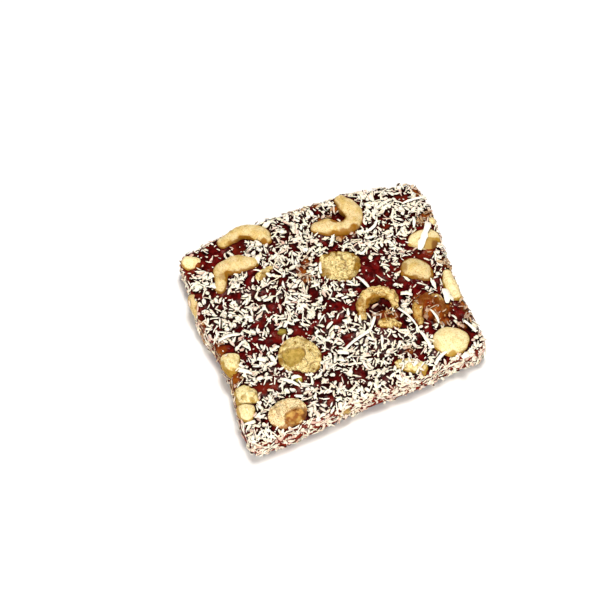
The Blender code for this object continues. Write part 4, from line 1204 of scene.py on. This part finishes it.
def dark_brown_share(name, points):
    """How far a nut turns dark brown, from 0 to 1, at each of its points."""
    dark_brown = np.zeros(len(points))
    ragged = DARK_BROWN_RAGGED * grain(points, 1.6, 2, 65)
    for x, y, reach, strength in DARK_BROWN_PLACES.get(name, ()):
        away = away_from(points, x, y) + ragged
        dark_brown = np.maximum(dark_brown, strength * fade(away, reach, 0.55))
    return dark_brown


def side_blush_and_shade(mesh, points):
    """How far the steep sides of a nut darken towards gold, in blots, from 0 to 1: partly the
    kernels' golden edges, partly painted shade.
    """
    upright = normals_of(mesh)[:, 2]
    blots = ease(-0.35, 0.35, grain(points, 4.0, 2, 67))
    return (1.0 - ease(0.35, 0.85, upright)) * blots * SIDE_BLUSH_AND_SHADE


for name, (kind, mesh) in nut_meshes.items():
    points = points_of(mesh) / MM
    mark(mesh, "dark_brown", dark_brown_share(name, points))
    mark(mesh, "stain_and_shade", syrup_stain_and_shade(name, kind, points))
    mark(mesh, "side", side_blush_and_shade(mesh, points))
    add_piece("fine_" + name, mesh, nut_finish[kind], STEEPING[kind][0], name)

# %% [markdown]
# Coconut is what the eye meets first: thousands of thin shreds, flakes and crumbs, cut from
# white flesh, lying every way. Each shred is a strip of a few sections with four corners, and
# thousands of them are one array. They lean, roll, bow and curl at random, and lie on whatever
# a ray from outside meets first.
# %% shreds as arrays
def shred_strips(spot, up, run, size, bow, curl, lean, roll, rise, sections, rng, tips=None):
    """Points of n shreds as an (n, sections, 4, 3) array.

    The run leans up by one angle and the strip rolls about it by another. The middle line is
    straight plus a parabola to the side (bow) and upwards (curl), and the section is a flat
    oblong with a ragged width that is widest off the middle and narrows to both ends.
    """
    n = len(spot)
    length, width, thick = size
    side = np.cross(up, run)
    cos, sin = np.cos(lean)[:, None], np.sin(lean)[:, None]
    run, up_lean = run * cos + up * sin, up * cos - run * sin
    cos, sin = np.cos(roll)[:, None], np.sin(roll)[:, None]
    side, flat = side * cos + up_lean * sin, up_lean * cos - side * sin
    s = np.linspace(-1.0, 1.0, sections)
    arch = 1.0 - s * s
    middle = spot + up * rise[:, None]
    line = (middle[:, None] + run[:, None] * (length[:, None] / 2 * s)[..., None]
            + side[:, None] * (bow[:, None] * arch)[..., None]
            + flat[:, None] * (curl[:, None] * arch)[..., None])
    blunt, skew = rng.uniform(1.2, 4.0, n)[:, None], rng.uniform(-0.55, 0.55, n)[:, None]
    tips = np.array(tips)[:, None, None] if tips else rng.uniform(0.04, 0.75, (2, n))[..., None]
    point = tips[0] + (tips[1] - tips[0]) * (s + 1.0) / 2.0
    half = width[:, None] / 2 * (point + (1.0 - point) * (1.0 - np.abs(s + skew * arch) ** blunt))
    ragged = rng.uniform(0.72, 1.14, (2, n, sections))
    deep = thick[:, None] / 2 * (1.0 - 0.4 * np.abs(s) ** 4)
    ring = []
    for across, upwards, edge in ((1, 1, 0), (-1, 1, 1), (-1, -1, 1), (1, -1, 0)):
        wide = side[:, None] * (across * half * ragged[edge])[..., None]
        ring.append(line + wide + flat[:, None] * (upwards * deep)[..., None])
    return np.stack(ring, axis=2)


def strip_faces(n, sections):
    """Quads of n strips of that many four-cornered sections, with both ends closed."""
    j, k = np.meshgrid(np.arange(sections - 1), np.arange(4), indexing="ij")
    here, turn = j * 4 + k, j * 4 + (k + 1) % 4
    sides = np.stack((here, here + 4, turn + 4, turn), axis=-1).reshape(-1, 4)
    last = 4 * (sections - 1)
    ends = np.array(((0, 1, 2, 3), (last + 3, last + 2, last + 1, last)))
    one = np.concatenate((sides, ends))
    return (one[None] + (np.arange(n) * 4 * sections)[:, None, None]).reshape(-1, 4)


def outward_volume(points, quads):
    """Six times the volume that the quads enclose: positive when they face outwards."""
    a, b, c, d = (points[quads[:, k]] for k in range(4))
    return float((np.cross(a, b) * c).sum() + (np.cross(a, c) * d).sum())


# %% closed strips inside the frame's box
COCONUT_LOW = 0.03
COCONUT_OVER = 0.3


def closed_strips(strips):
    """Points kept in the frame's box and just over the floor, and quads that face outwards."""
    low, high = np.array(cad_low) / MM, np.array(cad_high) / MM
    points = strips.reshape(-1, 3)
    points = np.clip(points, (low[0], low[1], COCONUT_LOW), high + (0.0, 0.0, COCONUT_OVER))
    quads = strip_faces(*strips.shape[:2])
    if outward_volume(points, quads) < 0.0:
        quads = quads[:, ::-1]
    return points, quads


print("quads in a strip of five sections:", len(strip_faces(1, 5)))

# %% [markdown]
# Shreds come down from above, from the sides and from below. A ray from outside finds the first
# surface it meets, paste or nut, and how it is tilted there. Most nuts have shed their coconut.
# %% a search tree of the slab
def search_tree(meshes):
    """One search tree over several meshes, and which mesh each face came from."""
    points, faces, owner, start = [], [], [], 0
    for number, mesh in enumerate(meshes):
        points.extend(vert.co[:] for vert in mesh.vertices)
        faces.extend([start + k for k in face.vertices] for face in mesh.polygons)
        owner.extend([number] * len(mesh.polygons))
        start += len(mesh.vertices)
    return BVHTree.FromPolygons(points, faces), np.array(owner)


surface_tree, surface_owner = search_tree([paste] + [mesh for _, mesh in nut_meshes.values()])
PASTE_OWNER = 0
NUT_OWNERS = {name: number for number, name in enumerate(nut_meshes, start=1)}
print("faces to land on:", len(surface_owner))


# %% where shreds land
COCONUT_ON_NUTS = {"covered_nut": 0.8, "amber_nut": 0.12}
COCONUT_ON_NUTS |= dict.fromkeys(
    ("halved_hazelnut", "nut_front", "pale_nut", "cut_nut_middle", "hollow_nut", "cashew_back",
     "cashew_left", "cashew_back_left", "nut_sliver", "nut_right", "nut_back_right"), 0.0)
ON_OTHER_NUTS, ON_WALL_NUTS = 0.03, 0.12
WALL_SHARES = {"front": 0.31, "back": 0.25, "left": 0.20, "right": 0.24}
RAY_START, WALL_RAY_START = 40.0, 20.0
UNDERSIDE = 0.30


def land(starts, directions):
    """Spots, normals and owners where rays first meet the slab, for the rays that do."""
    found = []
    for start, direction in zip(starts, directions):
        spot, normal, face, _ = surface_tree.ray_cast(Vector(start) * MM, Vector(direction))
        if spot is not None:
            found.append((*[c / MM for c in spot], *normal, surface_owner[face]))
    table = np.array(found)
    return table[:, :3], table[:, 3:6], table[:, 6].astype(int)


def top_spots(count, rng, even):
    """Places on the top face, thinned by a power of the cover and kept mostly off the nuts."""
    u, v = rng.uniform(0.0, 1.0, (2, count))
    plan = face_patch(u, v)
    plan = plan[rng.uniform(0, 1, count) < coconut_cover(plan) ** even]
    starts = np.column_stack((plan, np.full(len(plan), RAY_START)))
    spot, normal, owner = land(starts, np.tile((0.0, 0.0, -1.0), (len(plan), 1)))
    chance = np.where(owner == PASTE_OWNER, 1.0 - 0.5 * nut_near[map_cell(spot)], ON_OTHER_NUTS)
    for name, share in COCONUT_ON_NUTS.items():
        chance = np.where(owner == NUT_OWNERS[name], share, chance)
    stay = (rng.uniform(0, 1, len(spot)) < chance) & (normal[:, 2] > 0.2)
    return spot[stay], normal[stay]


kept, _ = top_spots(1000, np.random.default_rng(0), even=1.0)
print("places kept on top, of 1000 tried:", len(kept))


# %% places on the walls and underneath
def wall_spots(count, rng):
    """Places on the cut walls, a little denser at the front."""
    edge = rng.choice(4, count, p=tuple(WALL_SHARES.values()))
    t = rng.uniform(0.0, 1.0, count)
    spots = np.empty((count, 2))
    inward = np.empty((count, 2))
    for k, name in enumerate(WALL_SHARES):
        here = edge == k
        spots[here] = edge_curve(name, t[here])
        ahead, behind = np.minimum(t[here] + 0.01, 1.0), np.maximum(t[here] - 0.01, 0.0)
        run = edge_curve(name, ahead) - edge_curve(name, behind)
        left_of_run = np.stack((-run[:, 1], run[:, 0]), axis=-1)
        inward[here] = left_of_run / np.linalg.norm(run, axis=1)[:, None] * EDGE_ENDS[name][2]
    starts = np.column_stack((spots - inward * WALL_RAY_START, rng.uniform(0.6, 12.6, count)))
    spot, normal, owner = land(starts, np.column_stack((inward, np.zeros(count))))
    stay = rng.uniform(0, 1, len(spot)) < np.where(owner == PASTE_OWNER, 1.0, ON_WALL_NUTS)
    return spot[stay], normal[stay]


def base_spots(count, rng):
    """Places under the slab, where coconut is pressed flat."""
    u, v = rng.uniform(0.012, 0.988, (2, count))
    plan = face_patch(u, v) * 0.985
    waver = grain(np.column_stack((plan, np.full(len(plan), 9.0))), 8.0, 3, 91)
    plan = plan[rng.uniform(0, 1, count) < np.clip(0.75 + 0.4 * waver, 0.1, 1.0)]
    spot = np.column_stack((plan, np.full(len(plan), UNDERSIDE)))
    return spot, np.tile((0.0, 0.0, -1.0), (len(plan), 1))


kept, _ = base_spots(1000, np.random.default_rng(0))
print("places kept underneath, of 1000 tried:", len(kept))

# %% [markdown]
# Five kinds are strewn: long threads, flat flakes, broad chips, thin slivers and crumbs. Shreds
# drink colour from what they lie on: low ones turn pink from the paste, those on syrup turn
# amber. So each carries three marks, for its tone from white to cream, its blush and its syrup.
# %% strewn coconut
KINDS = {
    # length, width, thickness ranges, sections, how many to try on top, walls and base,
    # how evenly they lie (a power of the cover) and the share of those on top that is soaked
    "threads": ((3.0, 6.4), (0.45, 0.80), (0.28, 0.40), 6, (520, 170, 300), 1.0, 0.06),
    "flakes": ((2.2, 4.6), (0.80, 1.60), (0.28, 0.42), 5, (1700, 620, 1100), 1.0, 0.06),
    "chips": ((1.5, 3.2), (1.20, 2.30), (0.28, 0.42), 4, (740, 330, 500), 1.0, 0.08),
    "slivers": ((1.3, 3.2), (0.42, 0.85), (0.26, 0.38), 4, (2500, 620, 1200), 0.9, 0.10),
    "crumbs": ((0.5, 1.4), (0.40, 0.90), (0.26, 0.42), 3, (2100, 420, 800), 0.55, 0.30),
}
TOP_ZONE, WALL_ZONE, BASE_ZONE = 0, 1, 2
LOOSE = (1.0, 0.45, 0.0)
# how far shreds lean and roll, in radians, and how high they lie on others: spread and most
LEAN, ROLL, LAYER = (0.20, 0.5), (0.38, 1.0), (0.26, 0.9)
BEND = 0.05
SOAKED_ON_WALL, SOAKED_ON_BASE = 0.4, 0.3
SOAKED_WHERE_BARE = 0.45
SYRUP_SPREAD = 1.35


def random_run(normal, rng):
    """A random direction in each normal's plane."""
    other = rng.normal(0.0, 1.0, normal.shape)
    flat = other - normal * (other * normal).sum(axis=1)[:, None]
    return flat / np.linalg.norm(flat, axis=1)[:, None]


def lay_kind(name, seed):
    """Points and quads of all shreds of one kind, their marks, and the spots and areas on top."""
    (l0, l1), (w0, w1), (t0, t1), sections, counts, even, soaked_on_top = KINDS[name]
    rng = np.random.default_rng(seed)
    places = (top_spots(counts[0], rng, even), wall_spots(counts[1], rng),
              base_spots(counts[2], rng))
    spot = np.concatenate([place[0] for place in places])
    normal = np.concatenate([place[1] for place in places])
    zone = np.repeat((TOP_ZONE, WALL_ZONE, BASE_ZONE), [len(place[0]) for place in places])
    n = len(spot)
    length = l0 + (l1 - l0) * rng.beta(1.6, 2.4, n)
    width = w0 + (w1 - w0) * rng.beta(1.5, 2.2, n)
    thick = rng.uniform(t0, t1, n)
    loose = np.choose(zone, LOOSE)
    lean = rng.normal(0.0, LEAN[0], n).clip(-LEAN[1], LEAN[1]) * loose
    roll = rng.normal(0.0, ROLL[0], n).clip(-ROLL[1], ROLL[1]) * loose
    layer = rng.exponential(LAYER[0], n).clip(0.0, LAYER[1]) * loose
    bow = rng.normal(0.0, BEND, n) * length
    curl = rng.normal(0.0, BEND, n) * length * loose
    rise = 0.30 * length * np.abs(np.sin(lean)) + 0.2 * width * np.abs(np.sin(roll))
    rise = rise + thick * 0.3 + layer
    strips = shred_strips(spot, normal, random_run(normal, rng), (length, width, thick), bow, curl,
                          lean, roll, rise, sections, rng)
    tone = rng.beta(1.5, 3.0, n) + 0.3 * (zone == WALL_ZONE)
    bare = 1.0 - coconut_cover(spot)
    chance = np.choose(zone, (soaked_on_top + SOAKED_WHERE_BARE * bare ** 2, SOAKED_ON_WALL,
                              SOAKED_ON_BASE))
    soaked = rng.uniform(0.0, 1.0, n) < chance
    blush = np.where(soaked, rng.uniform(0.25, 0.95, n), rng.uniform(0.0, 0.10, n)) * (1.0 - layer)
    syrup = ease(0.15, 0.6, amber_share(spot, SYRUP_SPREAD)) * (zone != BASE_ZONE)
    syrup = syrup * rng.uniform(0.0, 1.0, n) ** 0.4
    on_top = zone == TOP_ZONE
    return (*closed_strips(strips), {"tone": tone, "blush": blush, "syrup": syrup},
            spot[on_top], (length * width)[on_top])


print("shreds to strew:", {name: sum(kind[4]) for name, kind in KINDS.items()})

# %% [markdown]
# The widest shreds catch the eye one by one, so these ribbons lie where they do on the real
# slab, each from a start to an end on the plan.
# %% ribbons placed one by one
RIBBONS = (
    # start x, y, end x, y, width, rise above the top face, bow to the left of the run
    (50.6, 19.2, 41.6, 8.2, 3.3, 3.3, 0.0), (44.8, 33.5, 56.0, 32.9, 1.0, 1.4, 0.3),
    (24.1, 26.2, 32.3, 31.6, 1.2, 1.0, -1.8), (12.4, 6.1, 15.1, -1.3, 1.3, 1.6, 0.3),
    (22.1, -13.9, 25.9, -27.2, 1.0, 1.5, 0.9), (26.0, -7.6, 30.4, -9.8, 2.2, 1.0, 0.2),
    (26.1, -26.8, 26.8, -36.0, 1.5, 1.3, 0.3), (25.4, -43.0, 32.7, -39.4, 1.5, 1.2, 0.3),
    (43.7, -12.2, 41.8, -19.0, 3.0, 1.5, 0.2), (33.8, -19.0, 34.6, -26.6, 1.1, 1.8, 0.3),
    (-5.3, -23.3, 8.1, -19.6, 1.6, 1.1, 0.5), (12.6, -12.2, 7.3, -19.3, 1.2, 1.4, 0.4),
    (-34.5, -26.4, -28.3, -32.3, 1.5, 0.9, 0.4), (-51.0, -1.0, -41.9, -1.2, 1.9, 0.9, 0.6),
    (40.6, -6.2, 40.4, -10.8, 1.8, 1.0, 0.0), (-45.4, 25.2, -41.8, 21.8, 2.6, 1.0, 0.2),
    (-23.6, 28.0, -21.2, 31.6, 2.4, 1.2, 0.1), (-34.4, -15.0, -33.4, -19.4, 1.8, 1.0, 0.1),
    (36.8, -44.2, 40.2, -43.6, 2.6, 0.8, 0.0), (-0.8, 13.0, 1.2, 18.6, 1.2, 2.0, 0.2),
    (-39.6, -14.4, -36.6, -16.6, 2.2, 0.9, 0.1), (-30.2, -27.6, -26.4, -29.0, 1.7, 1.2, 0.2),
    (-14.6, 44.0, -10.6, 46.0, 2.2, 0.9, 0.0), (-8.6, -23.6, -4.6, -25.8, 1.9, 1.0, 0.1),
    (46.6, 25.6, 44.4, 20.4, 1.3, 1.2, 0.1), (44.8, -28.8, 47.0, -35.6, 1.2, 1.1, 0.2),
    (-48.6, -16.6, -44.0, -20.2, 1.6, 1.1, 0.2),
)
HIGHEST_RIBBON = 3.5
FLAT_ABOVE = 3.0
RIBBON_SECTIONS = 9
RIBBON_TIPS = (0.85, 0.45)
RIBBON_THICKNESS = 0.5
RIBBON_SUNK = 0.3
RIBBON_TONE = 0.15


def lay_ribbons(seed):
    """The wide ribbons, in the same parts as a strewn kind."""
    rng = np.random.default_rng(seed)
    table = np.array(RIBBONS)
    n = len(table)
    start, end, width, rise, bow = table[:, :2], table[:, 2:4], table[:, 4], table[:, 5], table[:, 6]
    run = end - start
    length = np.hypot(run[:, 0], run[:, 1])
    run = np.column_stack((run / length[:, None], np.zeros(n)))
    spot = np.column_stack(((start + end) / 2, np.full(n, TOP)))
    up = np.tile((0.0, 0.0, 1.0), (n, 1))
    lean = rng.normal(0.0, 0.05, n)
    roll = rng.normal(0.0, 0.25, n) * (rise < FLAT_ABOVE)
    curl = np.minimum(0.5 * rise ** 0.5, HIGHEST_RIBBON - rise)
    thick = np.full(n, RIBBON_THICKNESS)
    strips = shred_strips(spot, up, run, (length, width, thick), bow, curl, lean, roll,
                          rise - RIBBON_SUNK, RIBBON_SECTIONS, rng, RIBBON_TIPS)
    marks = {"tone": np.full(n, RIBBON_TONE), "blush": np.zeros(n), "syrup": np.zeros(n)}
    return (*closed_strips(strips), marks, spot, length * width)


layers = {name: lay_kind(name, 300 + 11 * k) for k, name in enumerate(KINDS)}
layers["ribbons"] = lay_ribbons(401)
print("shreds on the top face:", sum(len(spot) for *_, spot, _ in layers.values()))

# %% [markdown]
# Dried coconut flesh is matt and creamy, lets a little light through, and has faint fibres. The
# lower corners of each shred carry a mark of their own, and the colour darkens towards them:
# painted shade for its shaded side, partly also syrup soaked up from the paste.
# %% coconut material
WHITE_FLESH, CREAM_FLESH = (0.97, 0.92, 0.81), (0.88, 0.77, 0.56)
FIBRES = (0.70, 0.61, 0.45)
PINK = ((0.64, 0.30, 0.24), (0.52, 0.17, 0.12))
AMBER = ((0.40, 0.19, 0.026), (0.24, 0.070, 0.007))
UNDERSIDE_SHADE = (0.060, 0.012, 0.007)


def coconut_material():
    """White to cream flesh, pink or amber where it has drunk, and dark beneath."""
    recipe = Recipe("coconut", Subsurface_Weight=0.10, Subsurface_Scale=0.0008, IOR=1.4)
    fibre = recipe.noise(0.5, 3.0, (1.0, 2.2, 1.0))
    broad = recipe.noise(3.0, 2.0)
    colour = recipe.mix(recipe.mark("tone"), WHITE_FLESH, CREAM_FLESH)
    colour = recipe.mix(recipe.span(fibre, 0.40, 0.80, 0.0, 0.25), colour, FIBRES)
    pink = recipe.mix(recipe.span(broad, 0.35, 0.7), *PINK)
    colour = recipe.mix(recipe.join("MULTIPLY", recipe.mark("blush"), 0.8), colour, pink)
    amber = recipe.mix(recipe.span(broad, 0.4, 0.65), *AMBER)
    colour = recipe.mix(recipe.join("MULTIPLY", recipe.mark("syrup"), 0.9), colour, amber)
    # painted shade: each shred darkens towards its lower corners
    under = recipe.span(recipe.mark("under"), 0.15, 0.85, 0.0, 0.94)
    colour = recipe.mix(under, colour, UNDERSIDE_SHADE)
    rough = recipe.span(fibre, 0.3, 0.7, 0.55, 0.8)
    return recipe.finish(colour, rough, recipe.bump(fibre, 0.05))


coconut = coconut_material()
print("material:", coconut.name)

# %% finish the coconut and shade the paste under it
UNDER_CORNERS = (0.0, 0.0, 1.0, 1.0)

coconut_stamp = np.zeros((MAP_CELLS, MAP_CELLS))
for name, (points, quads, marks, spot, area) in layers.items():
    mesh = mesh_from_arrays("coconut_" + name, points * MM, quads, smooth=False)
    for key, values in marks.items():
        mark(mesh, key, np.repeat(values, len(points) // len(values)))
    mark(mesh, "under", np.tile(UNDER_CORNERS, len(points) // len(UNDER_CORNERS)))
    add_piece("coconut_" + name, mesh, coconut, "coconut")
    np.add.at(coconut_stamp, map_cell(spot), area / CELL ** 2)

coconut_near = np.clip(soften(coconut_stamp), 0.0, 1.0)
# painted shade on the paste: the coconut's density, or the painted shade in the dips and beside the
# nuts, whichever is greater
mark(paste, "painted_shade", np.maximum(coconut_near[paste_cells], dark_beside))
print("share of the map under coconut:", round(float((coconut_near > 0.5).mean()), 3))

# %% [markdown]
# Last comes a pale matt floor. It is there for the picture alone, to catch the slab's shadow
# and send some light back up, so it is staged and not part of the slab.
# %% floor
FLOOR_SIZE = 6.0

bpy.ops.mesh.primitive_plane_add(size=FLOOR_SIZE, location=(0.0, 0.0, 0.0))
floor = bpy.context.object
floor.name = "floor"
pale = Recipe("pale_floor", IOR=1.4)
cloud = pale.noise(400.0, 2.0)
floor_colour = pale.mix(cloud, (0.86, 0.86, 0.86), (0.90, 0.90, 0.90))
pale.finish(floor_colour, pale.span(cloud, 0.3, 0.7, 0.5, 0.6), pale.bump(cloud, 0.01))
floor.data.materials.append(pale.material)
print("floor of", FLOOR_SIZE, "m")
